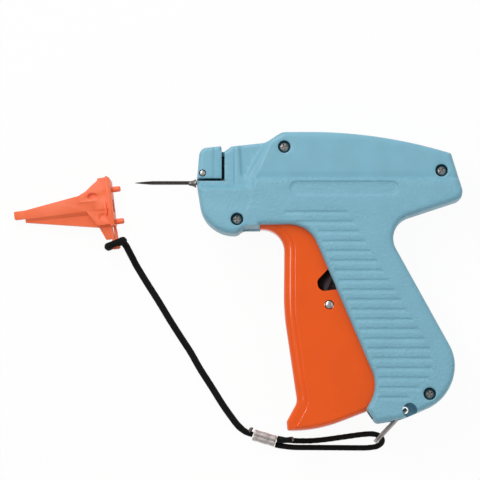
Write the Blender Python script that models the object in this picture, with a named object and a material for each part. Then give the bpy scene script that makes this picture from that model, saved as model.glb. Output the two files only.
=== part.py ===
"""Garment tagging gun with its needle cap on a wrist cord, lying on its right side.

Run with: blender --background --python part.py

Sizes are millimetres in the gun's own frame: x runs from the needle to the tail, y from the foot of
the grip to the top of the housing, and w from the parting plane of the two shells towards the left
side, which faces up. The surface that the gun lies on is at w = -HOUSING_HALF.
"""

import math

import bpy
from mathutils import Matrix, Vector

MM = 0.001

# Clearances
GAP = 0.3  # between pieces that seat on each other
RUNNING = 0.45  # round the pins of the open linkage
PARTING = 0.15  # each shell's half of the parting gap

# Main lengths of the outline
GRIP_ROOT = Vector((38.8, 25.7))  # corner between the back of the grip and the tail
GRIP_WAY = Vector((35.2, -63.7)).normalized()  # along the back of the grip, downwards
GRIP_LENGTH = 72.8  # from the root to the heel
TAIL_LENGTH = 37.7  # from the root to the end of the tail
HEEL = GRIP_ROOT + GRIP_WAY * GRIP_LENGTH
TAIL_X = GRIP_ROOT.x + TAIL_LENGTH


def from_heel(x, y):
    """A point of the grip's foot, which moves with the grip's length."""
    return HEEL.x + x, HEEL.y + y


# Housing
HOUSING_HALF = 13.0  # parting plane to side face
NOSE_HALF = 11.0  # parting plane to the side of the nose
SLOT_HALF = 10.0  # parting plane to the side beside the fastener slot
WALL = 2.2
EDGE_RADIUS = 2.5
DRAFT = 0.25
NOSE_CAVITY_HALF = 7.6
NOSE_FRONT_X = -46.9
BAY_HALF = 9.2  # half width of the opening that the trigger swings into
HOUSING_OUTLINE = [  # corners x, y, radius, counter-clockwise from the chin of the nose
    (-44.2, 28.2, 14.0),
    (-35.0, 21.3, 16.0),
    (-28.1, 21.3, 3.5),
    (-25.5, 23.5, 4.0),
    (-17.5, 23.6, 0.4),
    (-17.4, 25.6, 0.4),
    (4.5, 25.7, 13.5),
    (*from_heel(-37.6, -10.7), 16.0),
    (*from_heel(-43.3, -20.7), 0.8),
    (*from_heel(-38.7, -27.4), 2.5),
    (*from_heel(-27.3, -25.7), 28.0),
    (*from_heel(-7.5, -17.2), 21.0),
    (*HEEL, 20.0),
    (*GRIP_ROOT, 10.4),
    (TAIL_X, 38.1, 4.5),
    (TAIL_X - 6.4, 58.8, 1.5),
    (TAIL_X - 41.6, 68.9, 220.0),
    (-7.8, 68.6, 6.0),
    (-15.0, 63.8, 8.0),
    (-31.1, 62.0, 2.0),
    (-33.8, 59.9, 0.6),
    (-35.3, 59.9, 0.4),
    (-35.4, 62.3, 0.6),
    (-45.5, 61.1, 3.6),
    (NOSE_FRONT_X, 45.1, 30.0),
]
GRIP_FRONT = 6  # the outline's corner at the top of the grip's front edge
DEEP_FROM = (GRIP_FRONT, 18)  # the outline's corners that bound the deep part of the cavity
DEEP_FRONT = [(-6.0, 62.5, 0), (-14.0, 50.0, 0)]  # its front corners, behind the nose's slope
BAY_OUTLINE = [
    (-16.9, 20.0, 0),
    (-2.0, 20.0, 0),
    (*from_heel(-50.0, -2.0), 0),
    (*from_heel(-50.0, -25.2), 0),
    (*from_heel(-37.5, -25.2), 0),
    (*from_heel(-31.0, -14.0), 0),
    (*from_heel(-38.0, 5.0), 0),
    (12.5, 22.0, 0),
    (6.0, 34.0, 0),
    (-16.9, 34.0, 0),
]

# Shapes on the side faces
STEP_Y = 47.4  # lower edge of the shallow upper panel
STEP_DEPTH = 0.5
STEP_FRONT = -13.0
PLATE_LENGTH, PLATE_HEIGHT, PLATE_DEPTH = 50.3, 7.0, 0.6
PLATE_CENTRE = (21.0, 42.35)
GROOVE_TOP_Y = 31.15
GROOVE_PITCH = 4.476
GROOVES = 1 + math.floor((GROOVE_TOP_Y - from_heel(0, -16.0)[1]) / GROOVE_PITCH)
GROOVE_MARGIN = 2.3  # from the grip's front edge
GROOVE_SHOULDER = (-6.7, 1.14)  # start of the top groove, and the slant under it
GROOVE_BACK_TOP, GROOVE_BACK_END = Vector((22.9, 31.15)), Vector(from_heel(-12.6, 5.2))
GROOVE_FOOT, GROOVE_FOOT_SLANT = from_heel(-7.3, -0.8), 1.05
GROOVE_HEIGHT = 2.0
GROOVE_DEPTH = 0.9
NOSE_SLOPE = 3.3  # run of the slope from the body down to the nose
NOSE_PANEL = [(-60.0, 43.3), (-24.8, 43.3), (-14.0, 65.9), (-14.0, 80.0), (-60.0, 80.0)]
SLOT_PANEL = [(-60.0, 43.3), (-29.3, 43.3), (-29.3, 80.0), (-60.0, 80.0)]
NOSE_POCKET = [(-28.2, 66.0), (-26.3, 46.9), (-23.6, 46.9), (-14.9, 66.0)]
POCKET_DEPTH = 1.2

# Fastener slot and needle
NEEDLE_Y = 45.6
SLOT_FRONT, SLOT_BACK = -35.35, -34.0
SLOT_TOP, SLOT_BOTTOM = 47.1, 45.9
NEEDLE_RADIUS, NEEDLE_BORE = 0.9, 0.68
NEEDLE_LENGTH = 38.9
NEEDLE_ROOT_X = -36.3
NEEDLE_TIP_X = NEEDLE_ROOT_X - NEEDLE_LENGTH
NEEDLE_SLOT = math.radians(80)  # opening of the needle's side slot
BASE_LOW, BASE_HIGH = (-43.3, 41.0, -4.5), (NEEDLE_ROOT_X, 45.7, 4.5)
SEAT_HEIGHT, SEAT_MARGIN = 2.2, 0.7  # of the ledge and cheeks that hold the needle's base
KNIFE_LOW, KNIFE_HIGH = (-35.9, 42.6, -2.4), (-32.9, 47.2, -1.6)
NOSE_PIN_AT, NOSE_PIN_RADIUS = (-44.1, 49.5), 1.35
NOSE_PIN_LOW = -6.0
PEG_SPACING, PEG_RADIUS, PEG_LENGTH = 14.9, 1.3, 4.1
PEG_SOCKET_END = -41.0

# Trigger linkage
TRIGGER_PIVOT = Vector((11.0, 33.0))
LEVER_PIVOT = Vector((17.0, -0.5))
LINK_PIN_AT = Vector((14.0, -10.9))
SQUEEZE = math.radians(10.5)
TRIGGER_HALF = 8.5
TRIGGER_WALL = 2.2
TRIGGER_EDGE = 3.0
TRUNNION_RADIUS, TRUNNION_END = 2.5, 10.5
TRUNNION_BOSS = 4.6
LINK_PIN_RADIUS, LINK_PIN_HALF = 1.85, 8.7
PIVOT_PIN_RADIUS, PIVOT_PIN_HALF = 1.75, 10.4
PIVOT_BOSS = 4.2
TRIGGER_OUTLINE = [  # counter-clockwise from the tip of the horn, down the front
    (-16.7, 23.8, 0.4),
    (-6.5, 24.0, 10.0),
    (-6.8, -13.8, 100.0),
    (*from_heel(-74.7, -17.4), 4.5),
    (*from_heel(-79.5, -26.3), 1.2),
    (*from_heel(-79.2, -30.5), 1.2),
    (*from_heel(-65.5, -30.4), 63.0),
    (*from_heel(-37.0, -19.5), 3.0),
    (*from_heel(-34.4, -10.7), 8.0),
    (17.0, 11.0, 6.0),
    (16.5, 38.0, 5.0),
    (5.5, 38.0, 5.0),
    (5.0, 32.5, 1.0),
    (-16.7, 32.5, 1.0),
]
TRIGGER_ROUNDED = 7  # the first edges of the outline, which are rounded and walled
WINDOW_OUTLINE = [
    (9.2, -5.0, 3.2),
    (19.4, -3.6, 1.5),
    (19.4, 6.0, 2.0),
    (14.0, 6.0, 1.5),
    (8.4, 0.2, 2.5),
]

# Lever, slider and push rod
LEVER_HALF = 2.5
LEVER_EYE, LEVER_HUB, LEVER_FORK = 3.6, 5.0, 4.0  # half widths
FORK_TIP, FORK_ROOT = 13.4, 7.5  # from the lever's pivot
TOP_PIN_RADIUS, TOP_PIN_HALF = 1.5, 6.6
STUD_AT, STUD_RADIUS, STUD_TOP = 20.0, 1.5, 5.9
SLIDER_FRONT, SLIDER_BACK = 12.0, 11.0  # from the pin at rest
SLIDER_LOW, SLIDER_HIGH = 38.7, 51.5
SLIDER_HALF, TONGUE_HALF = 7.0, 10.3
SLIDER_WALL, SLIDER_ROOF = 3.5, 1.7
TONGUE_HEIGHT = 3.0
RAIL_FRONT, RAIL_BACK, RAIL_HEIGHT, RAIL_INNER = -15.0, 48.0, 1.6, 7.6
ROD_RADIUS, ROD_TIP_X = 0.4, -33.5
ROD_HEAD_RADIUS, ROD_HEAD_LENGTH = 1.4, 1.4
ROD_GUIDE_X, ROD_GUIDE_Y, ROD_GUIDE_LENGTH = -19.0, 38.0, 2.0

# Feed
WHEEL_AT = (-29.5, 53.1)
WHEEL_TEETH = 8
WHEEL_TIP, WHEEL_ROOT, WHEEL_HALF = 5.2, 3.7, 2.5
AXLE_RADIUS, AXLE_HALF = 1.5, 7.3
AXLE_BOSS = 3.4
PAWL_THICKNESS, PAWL_HALF, PAWL_REACH = 0.6, 2.0, 16.0
DETENT_THICKNESS, DETENT_HALF = 0.5, 2.0
DETENT_ROOT = (-16.5, 58.0)
DETENT_CLAMP = 1.5
DETENT_HELD, DETENT_BEHIND = 2.5, 0.5  # length of the clamp before and behind the leaf's root

# Return spring
SPRING_POST_AT, SPRING_POST_RADIUS = Vector((TAIL_X - 18.5, 39.5)), 2.0
SPRING_HOOK = 2.4  # length of the straight wire before and behind the curls
SPRING_W = 4.4
SPRING_RADIUS, SPRING_WIRE, SPRING_CURLS = 1.2, 0.35, 15

# Screws
SCREWS = {
    "screw_top": (-6.6, 61.5),
    "screw_rear": (TAIL_X - 11.0, 50.6),
    "screw_nose": (-28.3, 28.2),
    "screw_grip": from_heel(-14.1, -13.9),
}
SCREW_SEAT = 8.2
SCREW_HEAD_RADIUS, SCREW_HEAD_HEIGHT = 2.4, 1.7
SCREW_RADIUS, SCREW_END = 1.3, -7.2
SCREW_WELL_RADIUS = 2.9
SCREW_BOSS, PILOT_BOSS = 4.6, 3.4
CROSS_WIDTH, CROSS_DEPTH = 0.6, 0.9

# Lanyard eye and ring
EYE_POCKET_AT, EYE_POCKET_RADIUS = from_heel(-23.2, -21.4), 3.4
EYE_BLOCK_RADIUS = 5.2
EYE_WEB_HALF = 1.2
EYE_HOLE_AT, EYE_HOLE_RADIUS = Vector(from_heel(-25.3, -21.1)), 2.3
RING_WAY = Vector((-0.682, -0.732)).normalized()
RING_TILT = math.radians(18)
RING_WIRE = 0.6
RING_HALF, RING_START, RING_END = 3.9, 3.4, 16.3
WINDOW_HALF, WINDOW_LOW, WINDOW_HIGH, WINDOW_LENGTH = 1.7, 1.2, 8.6, 14.0

# Needle cap, in its own frame: x from its tip to its foot plate
CAP_AT = (-130.6, 31.1)
CAP_YAW = math.radians(6.65)
CAP_TUBE_START, CAP_TUBE_END = 4.7, 44.8
CAP_TIP_HALF, CAP_TUBE_HALF = 2.1, 4.3  # half heights of the body at its tip and its foot
CAP_TIP_LOW, CAP_TIP_HIGH = -2.0, 1.9  # edges of the tip block
CAP_TOP_SLOPE = 0.141  # rise of the body's upper edge
CAP_CREASE = -2.15  # where the sunk lower side of the body starts
CAP_SUNK = 1.1
CAP_FIN = [(5.1, -3.8), (19.4, -6.5), (37.8, -10.0), (44.8, -10.0)]  # lower edge of the sunk side
CAP_MID = 6.0  # height of the body's axis above the plate's lower edge
CAP_PLATE_FRONT, CAP_PLATE_BACK = 44.2, 46.1
CAP_PLATE_LOW, CAP_PLATE_HIGH = -10.3, 12.8
CAP_TIP_ROOM = 7.0  # between the needle's tip and the end of the bore when the cap is on
CAP_BORE_START = CAP_PLATE_BACK - (NOSE_FRONT_X - NEEDLE_TIP_X) - CAP_TIP_ROOM
CAP_BORE_TIP, CAP_BORE_MOUTH = 0.8, 3.0
CAP_TAB_HALF = 1.1
CAP_TAB = [(38.0, -9.0), (44.6, -9.0), (46.4, -12.6)]  # from the foot plate to the neck
CAP_TAB_LOW = -16.1  # where the tab narrows to the neck that the cord goes round
CAP_NECK_X, CAP_NECK_Y, CAP_NECK_HALF = 45.1, -18.0, 1.3
CAP_TAB_END = -20.9
CAP_PEG_MID = -0.85

# Wrist cord
CORD_RADIUS = 1.6
LOOP_RADIUS = 1.3  # of the cord's loop and cut ends, which the ferrule stretches
KNOT_POINTS = 16
FERRULE_START, FERRULE_END = Vector((-20.7, -70.0)), Vector((-10.5, -73.0))
FERRULE_WIDTH, FERRULE_HEIGHT = 5.7, 5.4
TETHER_ROUTE = [  # x, y, height above the surface
    (-79.3, 16.9, 5.9),
    (-77.9, 14.2, 4.9),
    (-76.2, 11.0, 3.3),
    (-74.4, 7.6, 2.1),
    (-69.2, -0.9, 1.7),
    (-64.3, -8.6, 1.7),
    (-59.3, -16.9, 1.7),
    (-54.4, -24.6, 1.7),
    (-49.6, -32.0, 1.7),
    (-45.4, -39.4, 1.7),
    (-39.9, -48.0, 1.7),
    (-34.9, -56.0, 1.7),
    (-30.6, -62.1, 1.7),
    (-27.5, -66.0, 1.7),
    (-24.2, -68.6, 1.7),
    (-21.0, -69.9, 1.7),
]
TETHER_END_SHARE = 0.8  # of its thickness where the ferrule holds it
LOOP_ROUTE = [
    (-10.65, -74.5, 1.4),
    (-8.4, -75.0, 1.4),
    (-2.3, -75.7, 1.4),
    (5.0, -75.8, 1.4),
    (12.0, -75.85, 1.4),
    (19.0, -75.9, 1.4),
    (25.0, -75.95, 1.4),
    (28.6, -75.97, 1.5),
    (31.2, -75.95, 1.75),
    (33.6, -75.75, 2.15),
    (36.0, -75.3, 2.85),
    (37.85, -74.25, 4.25),
    (38.55, -72.75, 6.15),
    (37.85, -71.25, 8.1),
    (36.0, -70.2, 9.5),
    (33.6, -69.8, 10.15),
    (31.0, -69.9, 10.2),
    (28.2, -70.15, 9.65),
    (25.0, -70.55, 8.4),
    (21.5, -71.0, 6.7),
    (18.0, -71.45, 5.0),
    (14.5, -71.9, 3.4),
    (11.0, -72.3, 2.2),
    (7.5, -72.6, 1.6),
    (4.0, -72.75, 1.4),
    (-1.0, -72.7, 1.4),
    (-5.5, -72.35, 1.4),
    (-9.75, -71.6, 1.4),
]
TAIL_ROUTE = [(-10.0, -72.7, 4.05), (-6.0, -73.0, 4.15), (-1.5, -73.3, 4.2)]
STUB_ROUTE = [(-21.3, -68.0, 4.05), (-22.7, -67.3, 4.1)]
CORD_STEP = 6.0  # spacing of the points along a cord

# Fineness of round shapes
ARC_STEP = math.radians(18)
ARC_CHORD = 7.0
LEAST_RADIUS = 0.12
ROUND_SIDES = 20
PIN_SIDES = 12


# What follows from the sizes above
def turned(point, centre, angle):
    """A point turned about a centre in the gun's plane."""
    return centre + Matrix.Rotation(angle, 2) @ (point - centre)


def bearing(vector):
    return math.atan2(vector.y, vector.x)


LINK_PIN_SQUEEZED = turned(LINK_PIN_AT, TRIGGER_PIVOT, SQUEEZE)
LEVER_SWING = bearing(LINK_PIN_SQUEEZED - LEVER_PIVOT) - bearing(LINK_PIN_AT - LEVER_PIVOT)
LEVER_ARM = NEEDLE_Y - LEVER_PIVOT.y
LEVER_UP = Vector((math.sin(LEVER_SWING / 2), math.cos(LEVER_SWING / 2)))
LEVER_DOWN = (LINK_PIN_AT - LEVER_PIVOT).normalized()
TOP_PIN_AT = LEVER_PIVOT + LEVER_UP * LEVER_ARM
STROKE = 2 * LEVER_ARM * math.sin(LEVER_SWING / 2)
SLIDER_START, SLIDER_END = TOP_PIN_AT.x - SLIDER_FRONT, TOP_PIN_AT.x + SLIDER_BACK
SLIDER_MID = (SLIDER_START + SLIDER_WALL + SLIDER_END - SLIDER_WALL) / 2
INNER_FACE = HOUSING_HALF - WALL
STUD_POINT = LEVER_PIVOT + LEVER_UP * STUD_AT


# Outlines
def moved_corners(corners, inset):
    """The corners of an outline whose edges move inwards, by one distance or by one for each edge."""
    count = len(corners)
    insets = inset if isinstance(inset, list) else [inset] * count
    lines = []
    for i, (x, y, _) in enumerate(corners):
        to_x, to_y, _ = corners[(i + 1) % count]
        along = Vector((to_x - x, to_y - y)).normalized()
        lines.append((Vector((x, y)) + Vector((-along.y, along.x)) * insets[i], along))
    moved = []
    for i, (_, _, radius) in enumerate(corners):
        (p, before), (q, after) = lines[i - 1], lines[i]
        bend = before.cross(after)
        point = p + before * ((q - p).cross(after) / bend)
        shift = (insets[i - 1] + insets[i]) / 2
        grown = radius - math.copysign(shift, bend)
        moved.append((point.x, point.y, max(grown, LEAST_RADIUS) if radius else 0))
    return moved


def rounded(corners, inset=0.0):
    """Points of an outline with round corners. The count of points doesn't depend on the inset."""
    moved = moved_corners(corners, inset) if inset else corners
    count = len(corners)
    points = []
    for i in range(count):
        plain = Vector(corners[i][:2])
        here = Vector(moved[i][:2])
        before = (plain - Vector(corners[i - 1][:2])).normalized()
        after = (Vector(corners[(i + 1) % count][:2]) - plain).normalized()
        turn = math.atan2(before.cross(after), before.dot(after))
        radius = moved[i][2]
        if not corners[i][2]:
            points.append(here)
            continue
        arc = corners[i][2] * abs(turn)
        steps = max(1 if corners[i][2] < 1 else 2, math.ceil(abs(turn) / ARC_STEP), math.ceil(arc / ARC_CHORD))
        side = math.copysign(1, turn)
        centre = here - before * (radius * math.tan(abs(turn) / 2)) + Vector((-before.y, before.x)) * (side * radius)
        arm = Vector((before.y, -before.x)) * (side * radius)
        points += [centre + Matrix.Rotation(turn * k / steps, 2) @ arm for k in range(steps + 1)]
    return points


def circle(centre, radius, sides=ROUND_SIDES):
    return [
        Vector((centre[0] + radius * math.cos(math.tau * k / sides), centre[1] + radius * math.sin(math.tau * k / sides)))
        for k in range(sides)
    ]


def rectangle(low_x, low_y, high_x, high_y):
    return [Vector(p) for p in ((low_x, low_y), (high_x, low_y), (high_x, high_y), (low_x, high_y))]


def sharp(points):
    return [(x, y, 0) for x, y in points]


# Solids
def solid(name, points, faces):
    """An object from points in millimetres."""
    mesh = bpy.data.meshes.new(name)
    mesh.from_pydata([Vector(p) * MM for p in points], [], faces)
    mesh.update()
    made = bpy.data.objects.new(name, mesh)
    bpy.context.scene.collection.objects.link(made)
    return made


def stack(name, loops):
    """A closed solid through loops with equally many points, counter-clockwise seen from the last."""
    count = len(loops[0])
    faces = [tuple(reversed(range(count)))]
    for low in range(0, (len(loops) - 1) * count, count):
        faces += [
            (low + i, low + (i + 1) % count, low + count + (i + 1) % count, low + count + i) for i in range(count)
        ]
    top = (len(loops) - 1) * count
    faces.append(tuple(range(top, top + count)))
    return solid(name, [p for loop in loops for p in loop], faces)


def prism(name, outline, low, high):
    return stack(name, [[(p.x, p.y, w) for p in outline] for w in (low, high)])


def slab(name, low, high):
    return prism(name, rectangle(low[0], low[1], high[0], high[1]), low[2], high[2])


def pin(name, centre, radius, low, high, sides=PIN_SIDES):
    return prism(name, circle(centre, radius, sides), low, high)


def bar(name, y, w, profile, sides=PIN_SIDES):
    """A solid turned about a line along x, from pairs of x and radius."""
    return stack(name, [[(x, p.x, p.y) for p in circle((y, w), radius, sides)] for x, radius in profile])


def combine(operation, target, tools):
    """Applies one Boolean after another to the target and removes the tools."""
    for tool in tools:
        modifier = target.modifiers.new(operation, "BOOLEAN")
        modifier.operation = operation
        modifier.object = tool
        graph = bpy.context.evaluated_depsgraph_get()
        made = bpy.data.meshes.new_from_object(target.evaluated_get(graph))
        target.modifiers.clear()
        target.data = made
        bpy.data.objects.remove(tool)
    return target


def cut(target, *tools):
    return combine("DIFFERENCE", target, tools)


def join(target, *tools):
    return combine("UNION", target, tools)


def common(target, tool):
    return combine("INTERSECT", target, [tool])


def mirrored(target):
    """Turns a left-hand solid into a right-hand one, across the parting plane."""
    target.data.transform(Matrix.Scale(-1, 4, (0, 0, 1)))
    target.data.flip_normals()
    return target


# Materials and placing
def material(name, hex_colour, roughness, metallic=0.0):
    made = bpy.data.materials.new(name)
    made.use_nodes = True
    shader = made.node_tree.nodes["Principled BSDF"]
    channels = [int(hex_colour[i : i + 2], 16) / 255 for i in (0, 2, 4)]
    linear = [c / 12.92 if c <= 0.04045 else ((c + 0.055) / 1.055) ** 2.4 for c in channels]
    shader.inputs["Base Color"].default_value = (*linear, 1)
    shader.inputs["Roughness"].default_value = roughness
    shader.inputs["Metallic"].default_value = metallic
    return made


def place(target, finish, parent, origin=(0, 0, 0)):
    """Gives a solid its material, its parent and its origin, a point in millimetres in the gun's frame."""
    if target.type == "MESH":
        target.data.transform(Matrix.Translation(-Vector(origin) * MM))
        target.data.shade_smooth()
        target.data.set_sharp_from_angle(angle=math.radians(30))
    target.location = Vector(origin) * MM
    target.parent = parent
    target.data.materials.clear()
    target.data.materials.append(finish)
    return target


# Housing shells
def groove_ends(y):
    """Where a grip groove at a height starts, beside the grip's front edge, and where it ends."""
    (top_x, top_y, _), (low_x, low_y, _) = HOUSING_OUTLINE[GRIP_FRONT : GRIP_FRONT + 2]
    start = min(top_x + (top_y - y) * (low_x - top_x) / (top_y - low_y) + GROOVE_MARGIN, low_x)
    if y > top_y:
        start = GROOVE_SHOULDER[0] + (GROOVE_TOP_Y - y) * GROOVE_SHOULDER[1]
    back = GROOVE_BACK_END - GROOVE_BACK_TOP
    end = min(
        GROOVE_BACK_TOP.x + (y - GROOVE_BACK_TOP.y) * back.x / back.y,
        GROOVE_BACK_END.x,
        GROOVE_FOOT[0] + (y - GROOVE_FOOT[1]) * GROOVE_FOOT_SLANT,
    )
    return start, end


def groove_tool():
    """All the grip grooves as one set of wedges."""
    points, faces = [], []
    top, floor = HOUSING_HALF + 1, HOUSING_HALF - GROOVE_DEPTH
    flare = GROOVE_HEIGHT * 0.3
    for k in range(GROOVES):
        y = GROOVE_TOP_Y - k * GROOVE_PITCH
        start, end = groove_ends(y)
        base = len(points)
        for w, spread in ((floor, -flare), (top, flare)):
            half = GROOVE_HEIGHT / 2 + spread
            lean = half * 0.6
            points += [
                (start - spread, y - half, w),
                (end + spread + lean, y - half, w),
                (end + spread - lean, y + half, w),
                (start - spread, y + half, w),
            ]
        faces += [(base + 3, base + 2, base + 1, base), (base + 4, base + 5, base + 6, base + 7)]
        faces += [
            (base + i, base + (i + 1) % 4, base + 4 + (i + 1) % 4, base + 4 + i)
            for i in range(4)
        ]
    return solid("grooves", points, faces)


def sunk_panel(name, corners, floor, slopes):
    """A tool that lowers a panel of the side face to a height, with sloping sides."""
    outline = sharp(corners)
    rise = HOUSING_HALF + 1 - floor
    low = [(p.x, p.y, floor) for p in rounded(outline)]
    high = [(p.x, p.y, floor + rise) for p in rounded(outline, [-rise * s for s in slopes])]
    return stack(name, [low, high])


def housing_half(name):
    """The left half of the housing as a full solid, with the shapes of its side face."""
    levels = [(PARTING, 0), (HOUSING_HALF - EDGE_RADIUS, DRAFT)]
    for k in (1, 2, 3):
        angle = math.radians(30 * k)
        inset = DRAFT + EDGE_RADIUS * (1 - math.cos(angle))
        levels.append((HOUSING_HALF - EDGE_RADIUS * (1 - math.sin(angle)), inset))
    half = stack(name, [[(p.x, p.y, w) for p in rounded(HOUSING_OUTLINE, inset)] for w, inset in levels])
    slope = NOSE_SLOPE / (HOUSING_HALF - NOSE_HALF)
    px, py = PLATE_CENTRE
    plate_r = PLATE_HEIGHT / 2
    plate = [
        (px - PLATE_LENGTH / 2, py - plate_r, plate_r),
        (px + PLATE_LENGTH / 2, py - plate_r, plate_r),
        (px + PLATE_LENGTH / 2, py + plate_r, plate_r),
        (px - PLATE_LENGTH / 2, py + plate_r, plate_r),
    ]
    return cut(
        half,
        slab("step", (STEP_FRONT, STEP_Y, HOUSING_HALF - STEP_DEPTH), (90, 80, HOUSING_HALF + 1)),
        sunk_panel("nose_panel", NOSE_PANEL, NOSE_HALF, [0.6, slope, 0, 0, 0]),
        sunk_panel("slot_panel", SLOT_PANEL, SLOT_HALF, [0.6, 0.6, 0, 0]),
        sunk_panel("nose_pocket", NOSE_POCKET, NOSE_HALF - POCKET_DEPTH, [0.8, 0.8, 0.8, 0]),
        prism("plate", rounded(plate), HOUSING_HALF - PLATE_DEPTH, HOUSING_HALF + 1),
        groove_tool(),
    )


def eye_window():
    """The way of the lanyard ring through the foot of the grip, as a tool for the left half."""
    side = Vector((-RING_WAY.y, RING_WAY.x)) * WINDOW_HALF
    far = EYE_HOLE_AT + RING_WAY * WINDOW_LENGTH
    outline = [EYE_HOLE_AT + side, EYE_HOLE_AT - side, far - side, far + side]
    return prism("eye_window", outline, WINDOW_LOW, WINDOW_HIGH)


def shell_cavity(screw_boss, extras):
    """The hollow of a left half: the inset outline, less bosses, ribs, rails and seats."""
    hollow = prism("cavity", rounded(HOUSING_OUTLINE, WALL), -1, NOSE_CAVITY_HALF)
    inset = moved_corners(HOUSING_OUTLINE, WALL + DRAFT)
    deep = inset[DEEP_FROM[0] : DEEP_FROM[1]]
    deep = [(DEEP_FRONT[-1][0], deep[0][1], 0)] + deep + DEEP_FRONT
    join(
        hollow,
        prism("deep", rounded(deep), NOSE_CAVITY_HALF - 1, INNER_FACE),
        prism("bay", rounded(BAY_OUTLINE), -1, BAY_HALF),
    )
    base_bottom = BASE_LOW[1] - GAP
    base_side = BASE_HIGH[2] + GAP
    seat = (BASE_LOW[0] + SEAT_MARGIN, BASE_HIGH[0] - SEAT_MARGIN)
    rail = TONGUE_HEIGHT / 2 + GAP
    hub = TRIGGER_HALF + 2 * GAP
    top = HOUSING_HALF
    pads = [
        slab("seat", (seat[0], base_bottom - SEAT_HEIGHT, PARTING), (seat[1], base_bottom, top)),
        slab("pad", (seat[0], BASE_LOW[1] + 0.2, base_side), (seat[1], BASE_HIGH[1] - 0.4, top)),
        slab("rod_guide", (ROD_GUIDE_X, ROD_GUIDE_Y, PARTING), (ROD_GUIDE_X + ROD_GUIDE_LENGTH, NEEDLE_Y + 0.8, top)),
        slab("rail_low", (RAIL_FRONT, NEEDLE_Y - rail - RAIL_HEIGHT, RAIL_INNER), (RAIL_BACK, NEEDLE_Y - rail, top)),
        slab("rail_high", (RAIL_FRONT, NEEDLE_Y + rail, RAIL_INNER), (RAIL_BACK, NEEDLE_Y + rail + RAIL_HEIGHT, top)),
        pin("trunnion_boss", TRIGGER_PIVOT, TRUNNION_BOSS, hub, top, ROUND_SIDES),
        pin("pivot_boss", LEVER_PIVOT, PIVOT_BOSS, hub, top, ROUND_SIDES),
        pin("axle_boss", WHEEL_AT, AXLE_BOSS, WHEEL_HALF + GAP, top),
        pin("eye_block", EYE_POCKET_AT, EYE_BLOCK_RADIUS, PARTING - 1, top, ROUND_SIDES),
    ]
    low = DETENT_ROOT[1] - GAP
    high = DETENT_ROOT[1] + DETENT_THICKNESS + GAP
    span = (DETENT_ROOT[0] - DETENT_HELD, DETENT_ROOT[0] + DETENT_BEHIND)
    pads.append(slab("detent_low", (span[0], low - DETENT_CLAMP, PARTING), (span[1], low, top)))
    pads.append(slab("detent_high", (span[0], high, PARTING), (span[1], high + DETENT_CLAMP, top)))
    pads += [pin("boss", at, screw_boss, PARTING - 1, top) for at in SCREWS.values()]
    return cut(hollow, *pads, *extras)


def shell_holes():
    """The holes that both shells have, as tools for a left half."""
    tools = [
        pin("trunnion_hole", TRIGGER_PIVOT, TRUNNION_RADIUS + GAP, 0, TRUNNION_END + GAP),
        pin("pivot_hole", LEVER_PIVOT, PIVOT_PIN_RADIUS + GAP, 0, PIVOT_PIN_HALF + GAP),
        pin("axle_hole", WHEEL_AT, AXLE_RADIUS + GAP, 0, AXLE_HALF + GAP),
        bar("rod_hole", NEEDLE_Y, 0, [(-25, ROD_RADIUS + GAP), (-10, ROD_RADIUS + GAP)]),
        bar("needle_hole", NEEDLE_Y, 0, [(-60, NEEDLE_RADIUS + GAP), (-44, NEEDLE_RADIUS + GAP)]),
        pin("eye_pocket", EYE_POCKET_AT, EYE_POCKET_RADIUS, EYE_WEB_HALF, 20, ROUND_SIDES),
        pin("eye_hole", EYE_HOLE_AT, EYE_HOLE_RADIUS, -1, 5),
        eye_window(),
    ]
    return tools + [peg_socket(-PEG_SPACING / 2)]


def peg_socket(offset):
    """The socket for a peg of the needle cap, above or below the needle."""
    radius = PEG_RADIUS + GAP
    return bar("socket", NEEDLE_Y + offset, 0, [(-60, radius), (PEG_SOCKET_END, radius)])


def left_shell():
    shell = cut(housing_half("left_shell"), shell_cavity(SCREW_BOSS, []))
    nose = sharp([(-60, SLOT_BOTTOM), (SLOT_BACK, SLOT_BOTTOM), (SLOT_BACK, 80), (-60, 80)])
    cut(shell, prism("nose_cut", rounded(nose), -1, 20), *shell_holes())
    for at in SCREWS.values():
        cut(
            shell,
            pin("well", at, SCREW_WELL_RADIUS, SCREW_SEAT, 20, ROUND_SIDES),
            pin("shank_hole", at, SCREW_RADIUS + GAP, -1, 20),
        )
    return shell


def right_shell():
    """The far half. It also carries the nose pin, the knife and the spring's post."""
    knife = slab("knife_seat", (*KNIFE_LOW[:2], -KNIFE_LOW[2] + GAP), (*KNIFE_HIGH[:2], HOUSING_HALF))
    boss = pin("nose_pin_boss", NOSE_PIN_AT, NOSE_PIN_RADIUS + 1.4, PARTING, HOUSING_HALF)
    post = pin("post", SPRING_POST_AT, SPRING_POST_RADIUS, PARTING - 2, HOUSING_HALF)
    shell = cut(housing_half("right_shell"), shell_cavity(PILOT_BOSS, [knife, boss, post]))
    cut(shell, *shell_holes(), peg_socket(PEG_SPACING / 2))
    cut(shell, pin("nose_pin_hole", NOSE_PIN_AT, NOSE_PIN_RADIUS + GAP, -1, -NOSE_PIN_LOW + GAP))
    for at in SCREWS.values():
        cut(shell, pin("pilot", at, SCREW_RADIUS + GAP, -1, -SCREW_END + GAP))
    mirrored(shell)
    top = SPRING_W + SPRING_WIRE + 1
    return join(shell, pin("post_top", SPRING_POST_AT, SPRING_POST_RADIUS, -INNER_FACE - 0.5, top))


def nose_block():
    block = sharp([(-60, SLOT_TOP), (SLOT_FRONT, SLOT_TOP), (SLOT_FRONT, 80), (-60, 80)])
    made = common(housing_half("nose_block"), prism("block", rounded(block), -1, 20))
    return cut(
        made,
        pin("pin_hole", NOSE_PIN_AT, NOSE_PIN_RADIUS + GAP, -1, 20),
        peg_socket(PEG_SPACING / 2),
    )


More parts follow.
